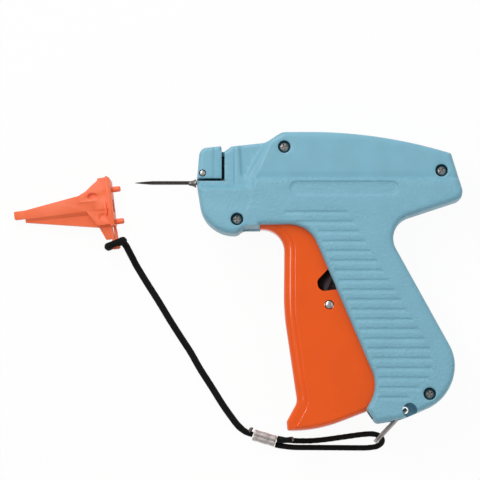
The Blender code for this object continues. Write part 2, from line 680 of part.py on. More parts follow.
# Needle group
def needle():
    """A tube with a slot along its upper side and a scooped point."""
    half = NEEDLE_SLOT / 2
    start, sweep = math.pi / 2 + half, math.tau - NEEDLE_SLOT
    steps = 10
    angles = [start + sweep * k / steps for k in range(steps + 1)]
    ring = [(NEEDLE_RADIUS, a) for a in angles] + [(NEEDLE_BORE, a) for a in reversed(angles)]
    sections = [(NEEDLE_TIP_X, 0.14), (NEEDLE_TIP_X + 3.6, 0.62), (NEEDLE_TIP_X + 8, 1), (NEEDLE_ROOT_X, 1)]
    loops = []
    for x, scale in sections:
        sink = -NEEDLE_RADIUS * (1 - scale) * 0.6
        loops.append(
            [(x, NEEDLE_Y + scale * r * math.cos(a), sink + scale * r * math.sin(a)) for r, a in ring]
        )
    return stack("needle", loops)


def needle_base():
    groove = bar("groove", NEEDLE_Y, 0, [(-60, NEEDLE_RADIUS + GAP), (-20, NEEDLE_RADIUS + GAP)])
    return cut(slab("needle_base", BASE_LOW, BASE_HIGH), groove)


def knife_blade():
    """A small plate whose rear edge is ground to a wedge."""
    (x0, y0, w0), (x1, y1, w1) = KNIFE_LOW, KNIFE_HIGH
    outline = [(x0, w0), (x1 - 1, w0), (x1, w0 + 0.15), (x1 - 1, w1), (x0, w1)]
    return stack("knife_blade", [[(x, y, w) for x, w in outline] for y in (y1, y0)])


# Trigger group
def trigger():
    rounded_edges = [i < TRIGGER_ROUNDED for i in range(len(TRIGGER_OUTLINE))]
    levels = []
    for k in range(4):
        angle = math.radians(30 * k)
        levels.append((TRIGGER_HALF - TRIGGER_EDGE * (1 - math.sin(angle)), TRIGGER_EDGE * (1 - math.cos(angle))))
    loops = []
    for w, inset in [(-w, inset) for w, inset in reversed(levels)] + levels:
        outline = rounded(TRIGGER_OUTLINE, [inset * edge for edge in rounded_edges])
        loops.append([(p.x, p.y, w) for p in outline])
    body = stack("trigger", loops)
    hollow = moved_corners(TRIGGER_OUTLINE, [TRIGGER_WALL if edge else -6.0 for edge in rounded_edges])
    inner = TRIGGER_HALF - TRIGGER_WALL
    cut(
        body,
        prism("hollow", rounded(hollow), -inner, inner),
        prism("window", rounded(WINDOW_OUTLINE), -20, 20),
        pin("link_hole", LINK_PIN_AT, LINK_PIN_RADIUS + GAP, -20, 20, ROUND_SIDES),
    )
    for side in (-1, 1):
        ends = sorted((side * (TRIGGER_HALF - 1), side * TRUNNION_END))
        join(body, pin("trunnion", TRIGGER_PIVOT, TRUNNION_RADIUS, *ends))
    return body


def drive_lever():
    """A bent plate: an eye at its top, a hub, and a fork round the trigger's link pin."""
    across_up = Vector((LEVER_UP.y, -LEVER_UP.x))
    across_down = Vector((-LEVER_DOWN.y, LEVER_DOWN.x))
    across_hub = (across_up + across_down).normalized() * LEVER_HUB
    tip, root = LEVER_PIVOT + LEVER_DOWN * FORK_TIP, LEVER_PIVOT + LEVER_DOWN * FORK_ROOT
    slot = across_down * (LINK_PIN_RADIUS + RUNNING)
    eye = TOP_PIN_AT + LEVER_UP * LEVER_EYE
    corners = [
        (tip + across_down * LEVER_FORK, 0.8),
        (LEVER_PIVOT + across_hub, LEVER_HUB),
        (eye + across_up * LEVER_EYE, LEVER_EYE - 0.2),
        (eye - across_up * LEVER_EYE, LEVER_EYE - 0.2),
        (LEVER_PIVOT - across_hub, LEVER_HUB),
        (tip - across_down * LEVER_FORK, 0.8),
        (tip - slot, 0.4),
        (root - slot, 1.9),
        (root + slot, 1.9),
        (tip + slot, 0.4),
    ]
    outline = rounded([(p.x, p.y, r) for p, r in corners])
    lever = prism("drive_lever", outline, -LEVER_HALF, LEVER_HALF)
    cut(
        lever,
        pin("hub_hole", LEVER_PIVOT, PIVOT_PIN_RADIUS + GAP, -5, 5),
        pin("eye_hole", TOP_PIN_AT, TOP_PIN_RADIUS + GAP, -5, 5),
    )
    return join(lever, pin("stud", STUD_POINT, STUD_RADIUS, LEVER_HALF - 0.5, STUD_TOP))


def slider():
    """A carriage over the lever's eye, with slots for its pin and tongues that run in the shells."""
    x0, x1 = SLIDER_START, SLIDER_END
    body = slab("slider", (x0, SLIDER_LOW, -SLIDER_HALF), (x1, SLIDER_HIGH, SLIDER_HALF))
    half = TONGUE_HEIGHT / 2
    join(body, slab("tongues", (x0 + 0.2, NEEDLE_Y - half, -TONGUE_HALF), (x1 - 0.2, NEEDLE_Y + half, TONGUE_HALF)))
    channel = LEVER_HALF + 2 * GAP
    slot = TOP_PIN_RADIUS + RUNNING
    pawl_y = NEEDLE_Y + ROD_RADIUS + 3 * GAP
    return cut(
        body,
        slab("channel", (x0 + SLIDER_WALL, 30, -channel), (x1 - SLIDER_WALL, SLIDER_HIGH - SLIDER_ROOF, channel)),
        slab(
            "pin_slot",
            (TOP_PIN_AT.x - slot, TOP_PIN_AT.y - slot, -20),
            (TOP_PIN_AT.x + slot, NEEDLE_Y + slot, 20),
        ),
        bar("rod_bore", NEEDLE_Y, 0, [(x0 - 5, ROD_RADIUS + GAP), (x0 + SLIDER_WALL + 1, ROD_RADIUS + GAP)]),
        slab(
            "pawl_seat",
            (x0 - 5, pawl_y - GAP, -PAWL_HALF - GAP),
            (x0 + SLIDER_WALL + 1, pawl_y + PAWL_THICKNESS + GAP, PAWL_HALF + GAP),
        ),
    )


def push_rod():
    """A thin rod with a head behind the slider's front wall."""
    head = SLIDER_START + SLIDER_WALL + 0.05
    profile = [
        (ROD_TIP_X, ROD_RADIUS),
        (head, ROD_RADIUS),
        (head + 0.05, ROD_HEAD_RADIUS),
        (head + ROD_HEAD_LENGTH, ROD_HEAD_RADIUS),
    ]
    rod = bar("push_rod", NEEDLE_Y, 0, profile, 8)
    low = NEEDLE_Y + ROD_RADIUS + 2 * GAP
    flat = slab("flat", (head - 1, low, -3), (head + 3, low + 3, 3))
    return cut(rod, flat)


def feed_pawl():
    low = NEEDLE_Y + ROD_RADIUS + 3 * GAP
    start = SLIDER_START - PAWL_REACH
    end = SLIDER_START + SLIDER_WALL - GAP
    rise = 0.35
    profile = [
        (start, low + rise),
        (start + 2, low),
        (end, low),
        (end, low + PAWL_THICKNESS),
        (start + 2, low + PAWL_THICKNESS),
        (start, low + rise + 0.2),
    ]
    return prism("feed_pawl", [Vector(p) for p in profile], -PAWL_HALF, PAWL_HALF)


# Feed group
def feed_wheel():
    """A ratchet wheel with a bore."""
    points = []
    for k in range(WHEEL_TEETH):
        at = math.tau * k / WHEEL_TEETH
        for radius, share in ((WHEEL_TIP, 0), (WHEEL_ROOT, 0.15), (WHEEL_ROOT, 0.45)):
            angle = at + share * math.tau / WHEEL_TEETH
            points.append(Vector(WHEEL_AT) + Vector((math.cos(angle), math.sin(angle))) * radius)
    wheel = prism("feed_wheel", points, -WHEEL_HALF, WHEEL_HALF)
    return cut(wheel, pin("bore", WHEEL_AT, AXLE_RADIUS + 0.1, -5, 5))


def feed_detent():
    """A spring leaf from its clamp to just outside the wheel's teeth."""
    x, y = DETENT_ROOT
    reach = Vector(WHEEL_AT) + Vector((math.cos(math.radians(50)), math.sin(math.radians(50)))) * (WHEEL_TIP + GAP)
    thick = DETENT_THICKNESS
    profile = [
        (x, y),
        (x, y + thick),
        (x - 4, y + thick),
        (reach.x, reach.y + 2 * thick),
        (reach.x, reach.y + thick),
        (x - 4, y),
    ]
    return prism("feed_detent", [Vector(p) for p in profile], -DETENT_HALF, DETENT_HALF)


# Fasteners and pins
def screw(name, at):
    """A pan-head screw with a cross recess."""
    x, y = at
    head = SCREW_SEAT + 0.1
    top = head + SCREW_HEAD_HEIGHT
    levels = [
        (SCREW_END, SCREW_RADIUS * 0.5),
        (SCREW_END + 1.5, SCREW_RADIUS),
        (head - 0.05, SCREW_RADIUS),
        (head, SCREW_HEAD_RADIUS),
        (top - 0.6, SCREW_HEAD_RADIUS),
        (top, SCREW_HEAD_RADIUS - 0.6),
    ]
    made = stack(name, [[(p.x, p.y, w) for p in circle(at, r, PIN_SIDES)] for w, r in levels])
    reach, half = SCREW_HEAD_RADIUS - 0.9, CROSS_WIDTH / 2
    return cut(
        made,
        slab("cross", (x - reach, y - half, top - CROSS_DEPTH), (x + reach, y + half, top + 1)),
        slab("cross", (x - half, y - reach, top - CROSS_DEPTH), (x + half, y + reach, top + 1)),
    )


def domed_pin(name, at, radius, low, high):
    """A straight pin with chamfered ends."""
    chamfer = radius * 0.25
    levels = [(low, radius - chamfer), (low + chamfer, radius), (high - chamfer, radius), (high, radius - chamfer)]
    return stack(name, [[(p.x, p.y, w) for p in circle(at, r, PIN_SIDES)] for w, r in levels])


# Curves
def smooth_points(route, step):
    """Points about a step apart on a smooth curve through a route's own points."""
    knots = [Vector(p) for p in route]
    ends = [knots[0] * 2 - knots[1]] + knots + [knots[-1] * 2 - knots[-2]]
    points = [knots[0]]
    for a, b, c, d in zip(ends, ends[1:], ends[2:], ends[3:]):
        pieces = max(1, round((c - b).length / step))
        for k in range(1, pieces + 1):
            t = k / pieces
            points.append(
                0.5 * (2 * b + (c - a) * t + (2 * a - 5 * b + 4 * c - d) * t**2 + (3 * b - a - 3 * c + d) * t**3)
            )
    return points


def tube(name, points, radius, resolution=2, cyclic=False, swell=None):
    """A round tube along points in millimetres. Swell gives each point's share of the radius."""
    curve = bpy.data.curves.new(name, "CURVE")
    curve.dimensions = "3D"
    curve.bevel_depth = radius * MM
    curve.bevel_resolution = resolution
    curve.use_fill_caps = True
    spline = curve.splines.new("POLY")
    spline.points.add(len(points) - 1)
    for k, (slot, point) in enumerate(zip(spline.points, points)):
        slot.co = (*(Vector(point) * MM), 1)
        slot.radius = swell[k] if swell else 1
    spline.use_cyclic_u = cyclic
    made = bpy.data.objects.new(name, curve)
    bpy.context.scene.collection.objects.link(made)
    return made


def lying(route):
    """A cord's route as points in the gun's frame, from heights above the surface."""
    return [(x, y, height - HOUSING_HALF) for x, y, height in route]


def return_spring():
    """An extension spring between the lever's stud and the right shell's post, with a loop at each end."""
    way = SPRING_POST_AT - STUD_POINT
    length = way.length
    along = way.normalized()
    side = Vector((-along.y, along.x))
    loop_a = STUD_RADIUS + SPRING_WIRE + GAP
    loop_b = SPRING_POST_RADIUS + SPRING_WIRE + GAP
    start, end = loop_a + SPRING_HOOK, length - loop_b - SPRING_HOOK
    local = []
    for k in range(10):
        angle = math.radians(60 + 30 * k)
        local.append((loop_a * math.cos(angle), loop_a * math.sin(angle), 0))
    local.append((loop_a + SPRING_HOOK / 2, 0, 0))
    per_curl = 7
    for k in range(SPRING_CURLS * per_curl + 1):
        angle = -math.pi / 2 + math.tau * k / per_curl
        share = k / (SPRING_CURLS * per_curl)
        local.append(
            (start + (end - start) * share, SPRING_RADIUS * math.cos(angle), SPRING_RADIUS * math.sin(angle))
        )
    local.append((length - loop_b - SPRING_HOOK / 2, 0, 0))
    for k in range(10):
        angle = math.radians(-150 + 30 * k)
        local.append((length + loop_b * math.cos(angle), loop_b * math.sin(angle), 0))
    points = []
    for s, t, w in local:
        spot = STUD_POINT + along * s + side * t
        points.append((spot.x, spot.y, SPRING_W + w))
    pitch = (end - start) / SPRING_CURLS
    print(f"return_spring: least gap between curls {pitch - 2 * SPRING_WIRE:.2f} mm")
    return tube("return_spring", points, SPRING_WIRE, 1)


def lanyard_ring():
    """An oblong wire ring through the eye at the foot of the grip, tipping down towards the cord."""
    down, rise = math.sin(RING_TILT), math.cos(RING_TILT)
    points = []
    steps = 10
    local = []
    for k in range(steps + 1):
        angle = math.pi / 2 + math.pi * k / steps
        local.append((RING_START + RING_HALF * math.cos(angle), RING_HALF * math.sin(angle)))
    for k in range(steps + 1):
        angle = -math.pi / 2 + math.pi * k / steps
        local.append((RING_END + RING_HALF * math.cos(angle), RING_HALF * math.sin(angle)))
    for s, t in local:
        flat = EYE_HOLE_AT + RING_WAY * (s * rise + t * down)
        points.append((flat.x, flat.y, -s * down + t * rise))
    return tube("lanyard_ring", points, RING_WIRE, 1, cyclic=True)


# Needle cap
def cap_half(x):
    """Half the height of the cap's body at a distance from its tip."""
    share = (x - CAP_TUBE_START) / (CAP_TUBE_END - CAP_TUBE_START)
    return CAP_TIP_HALF + (CAP_TUBE_HALF - CAP_TIP_HALF) * max(0, share)


def cap_section(x, low, high, half, top=None):
    """A cross-section of the cap from a lower to an upper edge, half as high as given both ways or to a top."""
    top = half if top is None else top
    return [(x, y, CAP_MID + w) for y, w in ((low, -half), (high, -half), (high, top), (low, top))]


def flat_rib(name, corners, low, high):
    return prism(name, [Vector(p) for p in corners], low, high)


def needle_cap():
    """The cap in its own frame, with the lower edge of its foot plate at height 0."""
    mid, start, end = CAP_MID, CAP_TUBE_START, CAP_TUBE_END
    high = CAP_TIP_HIGH + CAP_TOP_SLOPE * (end - start)
    cap = stack(
        "needle_cap",
        [
            cap_section(start, CAP_CREASE, CAP_TIP_HIGH, cap_half(start)),
            cap_section(end, CAP_CREASE, high, cap_half(end)),
        ],
    )
    tip = [
        cap_section(x, CAP_TIP_LOW + inset, CAP_TIP_HIGH - 0.1 - inset, CAP_TIP_HALF - 0.1 - inset)
        for x, inset in ((0, 0.3), (0.6, 0), (start + 1, 0))
    ]
    fin = [
        cap_section(x, y, CAP_CREASE + 0.4, cap_half(x) - 0.2, cap_half(x) - CAP_SUNK) for x, y in CAP_FIN
    ]
    flare = [(30.0, 2), (45, 2), (45, 12.6), (40.5, 12.2), (40.5, 11.3), (37.8, 9.7), (34.3, 7.0), (31.1, 5.5)]
    lower_flare = [(33.5, -2), (37.9, -9.3), (45, -9.3), (45, -2)]
    left, right = CAP_NECK_X - CAP_NECK_HALF, CAP_NECK_X + CAP_NECK_HALF
    tab = CAP_TAB + [
        (right, CAP_TAB_LOW),
        (right, CAP_TAB_END + 1.4),
        (right + 0.8, CAP_TAB_END + 0.7),
        (right, CAP_TAB_END),
        (left, CAP_TAB_END),
        (left - 0.8, CAP_TAB_END + 0.7),
        (left, CAP_TAB_END + 1.4),
        (left, CAP_TAB_LOW),
        (left - 2.9, CAP_TAB_LOW),
    ]
    tab = list(reversed(tab))
    foot = rectangle(CAP_PLATE_FRONT, CAP_PLATE_LOW, CAP_PLATE_BACK, CAP_PLATE_HIGH)
    join(
        cap,
        stack("tip", tip),
        stack("fin", fin),
        flat_rib("flare", flare, mid - 1.2, mid + 3.2),
        flat_rib("lower_flare", lower_flare, mid - 1.2, mid + 3.6),
        flat_rib("tab", tab, mid - CAP_TAB_HALF, mid + CAP_TAB_HALF),
        prism("foot", foot, 0, 2 * mid),
    )
    for side in (-1, 1):
        y = CAP_PEG_MID + side * PEG_SPACING / 2
        profile = [(CAP_PLATE_BACK - 1, PEG_RADIUS), (CAP_PLATE_BACK + PEG_LENGTH, PEG_RADIUS)]
        join(cap, bar("peg", y, mid, profile))
    bore = [
        cap_section(x, CAP_PEG_MID - half, CAP_PEG_MID + half, half)
        for x, half in ((CAP_BORE_START, CAP_BORE_TIP), (CAP_PLATE_BACK + 0.5, CAP_BORE_MOUTH))
    ]
    return cut(cap, stack("bore", bore))


def cap_pose():
    """Where the cap lies: turned in the plane, and tipped about its foot plate so that its tip rests too."""
    tilt = math.atan2(CAP_MID - CAP_TIP_HALF, CAP_PLATE_FRONT)
    hinge = Matrix.Translation(Vector((CAP_PLATE_FRONT, 0, 0)) * MM)
    turn = Matrix.Translation(Vector((*CAP_AT, 0)) * MM) @ Matrix.Rotation(CAP_YAW, 4, "Z")
    return turn @ hinge @ Matrix.Rotation(-tilt, 4, "Y") @ hinge.inverted()


def cap_knot():
    """A turn of cord round the neck of the cap's eye."""
    reach = CAP_NECK_HALF + CORD_RADIUS + 2 * GAP
    rise = CAP_TAB_HALF + CORD_RADIUS + 2 * GAP
    points = []
    for k in range(KNOT_POINTS):
        angle = math.tau * k / KNOT_POINTS
        points.append((CAP_NECK_X + reach * math.cos(angle), CAP_NECK_Y, CAP_MID + rise * math.sin(angle)))
    return tube("cap_knot", points, CORD_RADIUS, 2, cyclic=True)


# Wrist cord fittings
def cord_ferrule():
    """A crimped sleeve: a flattened tube with a seam pressed in along its top."""
    along = (FERRULE_END - FERRULE_START).normalized()
    across = Vector((-along.y, along.x))
    half, top = FERRULE_WIDTH / 2, FERRULE_HEIGHT
    section = [
        (-half + 0.9, 0.15),
        (half - 0.9, 0.15),
        (half, 1.2),
        (half, top - 1.2),
        (half - 0.9, top),
        (0.5, top),
        (0.15, top - 0.5),
        (-0.15, top - 0.5),
        (-0.5, top),
        (-half + 0.9, top),
        (-half, top - 1.2),
        (-half, 1.2),
    ]
    loops = []
    for spot in (FERRULE_START, FERRULE_END):
        loops.append(
            [(*(spot + across * t), height - HOUSING_HALF) for t, height in section]
        )
    return stack("cord_ferrule", loops)


def clear_scene():
    for thing in list(bpy.data.objects):
        bpy.data.objects.remove(thing)


def empty(name, pose):
    made = bpy.data.objects.new(name, None)
    made.matrix_world = pose
    bpy.context.scene.collection.objects.link(made)
    return made


def build():
    clear_scene()
    blue = material("blue_abs", "82B4C8", 0.45)
    orange = material("orange_abs", "E4602B", 0.32)
    cap_orange = material("orange_polypropylene", "FA7848", 0.4)
    white = material("white_acetal", "E8E6DF", 0.4)
    steel = material("steel", "B8B8B6", 0.3, 1.0)
    dark_steel = material("dark_steel", "5E5C5A", 0.35, 1.0)
    tin = material("tinned_steel", "C4BEBA", 0.35, 1.0)
    black = material("black_cord", "1B1B1C", 0.9)

    gun = empty("gun", Matrix.Translation((0, 0, HOUSING_HALF * MM)))
    place(left_shell(), blue, gun)
    place(right_shell(), blue, gun)
    place(nose_block(), blue, gun)
    place(domed_pin("nose_pin", NOSE_PIN_AT, NOSE_PIN_RADIUS, NOSE_PIN_LOW, SLOT_HALF + 0.2), steel, gun)
    place(needle(), dark_steel, gun)
    place(needle_base(), steel, gun)
    place(knife_blade(), steel, gun)
    for name, at in SCREWS.items():
        place(screw(name, at), dark_steel, gun, (*at, 0))

    pivot = (*TRIGGER_PIVOT, 0)
    place(trigger(), orange, gun, pivot)
    link = domed_pin("trigger_link_pin", LINK_PIN_AT, LINK_PIN_RADIUS, -LINK_PIN_HALF, LINK_PIN_HALF)
    place(link, steel, gun, pivot)
    fulcrum = (*LEVER_PIVOT, 0)
    pivot_pin = domed_pin("lever_pivot_pin", LEVER_PIVOT, PIVOT_PIN_RADIUS, -PIVOT_PIN_HALF, PIVOT_PIN_HALF)
    place(pivot_pin, steel, gun, fulcrum)
    place(drive_lever(), dark_steel, gun, fulcrum)
    top_pin = domed_pin("lever_top_pin", TOP_PIN_AT, TOP_PIN_RADIUS, -TOP_PIN_HALF, TOP_PIN_HALF)
    place(top_pin, steel, gun, fulcrum)
    place(slider(), white, gun, (*TOP_PIN_AT, 0))
    place(push_rod(), steel, gun, (*TOP_PIN_AT, 0))
    place(feed_pawl(), steel, gun, (*TOP_PIN_AT, 0))
    place(return_spring(), steel, gun)

    axle = (*WHEEL_AT, 0)
    place(feed_wheel(), white, gun, axle)
    place(domed_pin("feed_axle", WHEEL_AT, AXLE_RADIUS, -AXLE_HALF, AXLE_HALF), steel, gun, axle)
    place(feed_detent(), steel, gun)

    cap_rest = empty("cap_rest", cap_pose())
    place(needle_cap(), cap_orange, cap_rest)
    place(cap_knot(), black, cap_rest)
    place(lanyard_ring(), tin, gun)
    place(cord_ferrule(), tin, gun)
    tether = smooth_points(lying(TETHER_ROUTE), CORD_STEP)
    swell = [1] * (len(tether) - 2) + [(1 + TETHER_END_SHARE) / 2, TETHER_END_SHARE]
    place(tube("tether_cord", tether, CORD_RADIUS, swell=swell), black, gun)
    place(tube("cord_loop", smooth_points(lying(LOOP_ROUTE), CORD_STEP / 2), LOOP_RADIUS), black, gun)
    place(tube("cord_tail", smooth_points(lying(TAIL_ROUTE), CORD_STEP / 2), LOOP_RADIUS), black, gun)
    place(tube("cord_stub", smooth_points(lying(STUB_ROUTE), CORD_STEP / 2), LOOP_RADIUS), black, gun)


build()
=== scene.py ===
"""The looks of a garment tagging gun with its needle cap and wrist cord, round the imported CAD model.

Sizes in the shape code are millimetres: x from the needle to the tail, y from the foot of the grip to
the top of the housing, w from the parting plane of the shells towards the side that faces up.
"""

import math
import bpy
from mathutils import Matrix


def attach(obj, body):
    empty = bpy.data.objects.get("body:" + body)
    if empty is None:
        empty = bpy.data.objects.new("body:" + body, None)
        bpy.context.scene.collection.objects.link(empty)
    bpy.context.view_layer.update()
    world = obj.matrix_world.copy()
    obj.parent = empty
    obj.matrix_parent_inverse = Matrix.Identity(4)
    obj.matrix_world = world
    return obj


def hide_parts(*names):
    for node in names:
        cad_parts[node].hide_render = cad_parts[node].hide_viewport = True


bl_info = {
    "name": "Garment tagging gun",
    "version": (1, 0, 0),
    "blender": (4, 5, 0),
    "location": "View3D > Sidebar > Tagging gun",
    "description": "Makes the shells, trigger, needle, cap and wrist cord of a garment tagging gun",
    "category": "Object",
}

import bmesh
import bpy
import numpy as np
from bpy.props import FloatProperty, FloatVectorProperty, IntProperty, PointerProperty
from mathutils import Matrix, Vector
from mathutils.geometry import delaunay_2d_cdt

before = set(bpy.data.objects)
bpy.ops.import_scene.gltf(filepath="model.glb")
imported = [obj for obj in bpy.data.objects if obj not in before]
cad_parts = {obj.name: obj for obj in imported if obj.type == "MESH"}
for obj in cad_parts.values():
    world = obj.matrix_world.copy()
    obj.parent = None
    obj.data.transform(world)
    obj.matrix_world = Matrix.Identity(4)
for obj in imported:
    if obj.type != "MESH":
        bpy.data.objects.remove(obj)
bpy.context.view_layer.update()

MM = 0.001
HALF = 13.0  # parting plane to side face
GAP = 0.3
PARTING = 0.15

HOUSING_OUTLINE = [  # corners x, y, radius, counter-clockwise from the chin of the nose
    (-44.2, 28.2, 14.0),
    (-35.0, 21.3, 16.0),
    (-28.1, 21.3, 3.5),
    (-25.5, 23.5, 4.0),
    (-17.5, 23.6, 0.4),
    (-17.4, 25.6, 0.4),
    (4.5, 25.7, 13.5),
    (36.4, -48.7, 16.0),
    (30.7, -58.7, 0.8),
    (35.3, -65.4, 2.5),
    (46.7, -63.7, 28.0),
    (66.5, -55.2, 21.0),
    (74.0, -38.0, 20.0),
    (38.8, 25.7, 10.4),
    (76.5, 38.1, 4.5),
    (70.1, 58.8, 1.5),
    (34.9, 68.9, 220.0),
    (-7.8, 68.6, 6.0),
    (-15.0, 63.8, 8.0),
    (-31.1, 62.0, 2.0),
    (-33.8, 59.9, 0.6),
    (-35.3, 59.9, 0.4),
    (-35.4, 62.3, 0.6),
    (-45.5, 61.1, 3.6),
    (-46.9, 45.1, 30.0),
]
WALL, DRAFT = 2.2, 0.25
BAY_OUTLINE = [
    (-17.85, 20.0),
    (-2.0, 20.0),
    (24.0, -40.0),
    (24.0, -63.2),
    (36.5, -63.2),
    (43.0, -52.0),
    (36.0, -33.0),
    (12.5, 22.0),
    (6.0, 34.0),
    (-17.85, 34.0),
]
TRIGGER_OUTLINE = [  # counter-clockwise from the tip of the horn, down the front
    (-17.7, 23.8, 0.3),
    (-6.5, 24.0, 10.0),
    (-6.8, -13.8, 100.0),
    (-0.7, -55.4, 6.0),
    (-5.5, -64.3, 1.4),
    (-5.2, -68.5, 1.2),
    (8.5, -68.4, 63.0),
    (37.0, -57.5, 3.0),
    (39.6, -48.7, 8.0),
    (17.0, 11.0, 6.0),
    (16.5, 38.0, 5.0),
    (5.5, 38.0, 5.0),
    (5.0, 32.5, 1.0),
    (-17.7, 32.5, 1.0),
]
TRIGGER_ROUNDED = 7  # the outline's first edges, which are rounded and walled
TRIGGER_TOE, TRIGGER_FOOT = (3, 4), (5, 6)  # those at the toe and along the foot
TRIGGER_PANEL = [  # the raised side panel: its front line, the foot, and the edges that the shells hide
    (-10.6, 26.6, 0),
    (-2.0, 19.8, 12.0),
    (-2.1, -13.8, 100.0),
    (4.1, -56.6, 8.0),
    (-2.2, -68.5, 0.4),
    (2.7, -68.44, 24.0),
    (14.0, -66.3, 40.0),
    (37.0, -57.5, 3.0),
    (39.6, -48.7, 8.0),
    (17.0, 11.0, 6.0),
    (16.5, 38.0, 5.0),
    (5.5, 38.0, 5.0),
    (5.0, 32.5, 1.0),
    (-10.6, 32.5, 0),
]
PANEL_FRONT, PANEL_FOOT = (1, 2), (4, 5, 6)  # its edges along the front line and along the foot
WINDOW_OUTLINE = [(9.2, -5.0, 3.2), (19.4, -3.6, 1.5), (19.4, 6.0, 2.0), (14.0, 6.0, 1.5), (8.4, 0.2, 2.5)]
TRIGGER_PIVOT, LEVER_PIVOT, LINK_PIN_AT = (11.0, 33.0), (17.0, -0.5), (14.0, -10.9)
TRIGGER_HALF = 8.5
NEEDLE_Y = 45.6
SLOT_FRONT, SLOT_BACK, SLOT_TOP, SLOT_BOTTOM = -35.35, -34.0, 47.1, 45.9
STEP_Y = 46.2  # where the body steps down to the upper panel
PLATE_CENTRE, PLATE_HALF, PLATE_RADIUS = (21.0, 42.35), 25.15, 3.5
GROOVE_TOP = 31.15
NOSE_LINE = ((-24.8, 43.3), (-14.0, 65.9))  # foot of the slope between body and nose
NOSE_RUN = 4.2
SCREWS = {
    "screw_top": (-6.6, 61.5),
    "screw_rear": (65.5, 50.6),
    "screw_nose": (-28.3, 28.2),
    "screw_grip": (59.9, -51.9),
}
EYE_HOLE_AT, EYE_POCKET_AT = Vector((48.7, -59.1)), (50.8, -59.4)
RING_WAY = Vector((-0.682, -0.732)).normalized()
WHEEL_AT = (-29.5, 53.1)
NOSE_PIN_AT = (-44.1, 49.5)
CAP_AT, CAP_YAW, CAP_MID, CAP_FOOT = (-130.6, 31.1), math.radians(6.65), 6.0, 44.2
CAP_NECK = (45.1, -18.0)  # where the cord goes round the cap's tab, in the cap's own frame

TETHER_ROUTE = [  # x, y, height above the surface
    (-79.3, 16.9, 5.9),
    (-77.9, 14.2, 4.9),
    (-76.2, 11.0, 3.3),
    (-74.4, 7.6, 2.1),
    (-69.2, -0.9, 1.7),
    (-64.3, -8.6, 1.7),
    (-59.3, -16.9, 1.7),
    (-54.4, -24.6, 1.7),
    (-49.6, -32.0, 1.7),
    (-45.4, -39.4, 1.7),
    (-39.9, -48.0, 1.7),
    (-34.9, -56.0, 1.7),
    (-30.6, -62.1, 1.7),
    (-27.5, -66.0, 1.7),
    (-24.2, -68.6, 1.7),
    (-21.0, -69.9, 1.7),
]
LOOP_ROUTE = [
    (-10.65, -74.5, 1.4),
    (-8.4, -75.0, 1.4),
    (-2.3, -75.7, 1.4),
    (5.0, -75.8, 1.4),
    (12.0, -75.85, 1.4),
    (19.0, -75.9, 1.4),
    (25.0, -75.95, 1.4),
    (28.6, -75.97, 1.5),
    (31.2, -75.95, 1.75),
    (33.6, -75.75, 2.15),
    (36.0, -75.3, 2.85),
    (37.85, -74.25, 4.25),
    (38.55, -72.75, 6.15),
    (37.85, -71.25, 8.1),
    (36.0, -70.2, 9.5),
    (33.6, -69.8, 10.15),
    (31.0, -69.9, 10.2),
    (28.2, -70.15, 9.65),
    (25.0, -70.55, 8.4),
    (21.5, -71.0, 6.7),
    (18.0, -71.45, 5.0),
    (14.5, -71.9, 3.4),
    (11.0, -72.3, 2.2),
    (7.5, -72.6, 1.6),
    (4.0, -72.75, 1.4),
    (-1.0, -72.7, 1.4),
    (-5.5, -72.35, 1.4),
    (-9.75, -71.6, 1.4),
]
TAIL_ROUTE = [(-10.0, -72.6, 4.05), (-6.2, -72.6, 4.2), (-2.0, -71.9, 4.3)]
STUB_ROUTE = [(-21.3, -68.0, 4.05), (-22.7, -67.3, 4.1)]
FERRULE_ENDS = (Vector((-20.7, -70.0)), Vector((-10.5, -73.0)))


def linear(hex_colour):
    """An sRGB hex colour as linear light."""
    channels = [int(hex_colour[i : i + 2], 16) / 255 for i in (0, 2, 4)]
    return tuple(c / 12.92 if c <= 0.04045 else ((c + 0.055) / 1.055) ** 2.4 for c in channels)


def length(name, description, millimetres):
    return FloatProperty(name=name, description=description, default=millimetres * MM, min=0, unit="LENGTH")


def colour(name, description, hex_colour):
    return FloatVectorProperty(name=name, description=description, default=linear(hex_colour), subtype="COLOR")


class HousingSizes(bpy.types.PropertyGroup):
    edge_radius: length("Edge", "Rounding of the shells' outer edge", 2.5)
    nose_edge_radius: length("Nose edge", "Rounding of the nose's outer edge", 1.6)
    groove_depth: length("Groove depth", "Depth of the grip grooves", 0.6)
    groove_height: length("Groove height", "Height of the grip grooves", 2.0)
    groove_pitch: length("Groove pitch", "From one grip groove to the next", 4.476)
    groove_count: IntProperty(name="Grooves", description="Number of grip grooves", default=20, min=0)
    plate_depth: length("Plate depth", "Depth of the bare oval plate", 0.5)
    trigger_edge: length("Trigger edge", "Rounding of the trigger's front edges", 3.0)


class CordSizes(bpy.types.PropertyGroup):
    diameter: length("Diameter", "Thickness of the wrist cord", 3.2)
    loop_diameter: length("Loop", "Thickness of the loop and the cut ends", 2.6)
    braid_pitch: length("Braid", "Length of one diamond of the braid", 1.7)
    strands: IntProperty(name="Strands", description="Strands that wind each way", default=6, min=3)


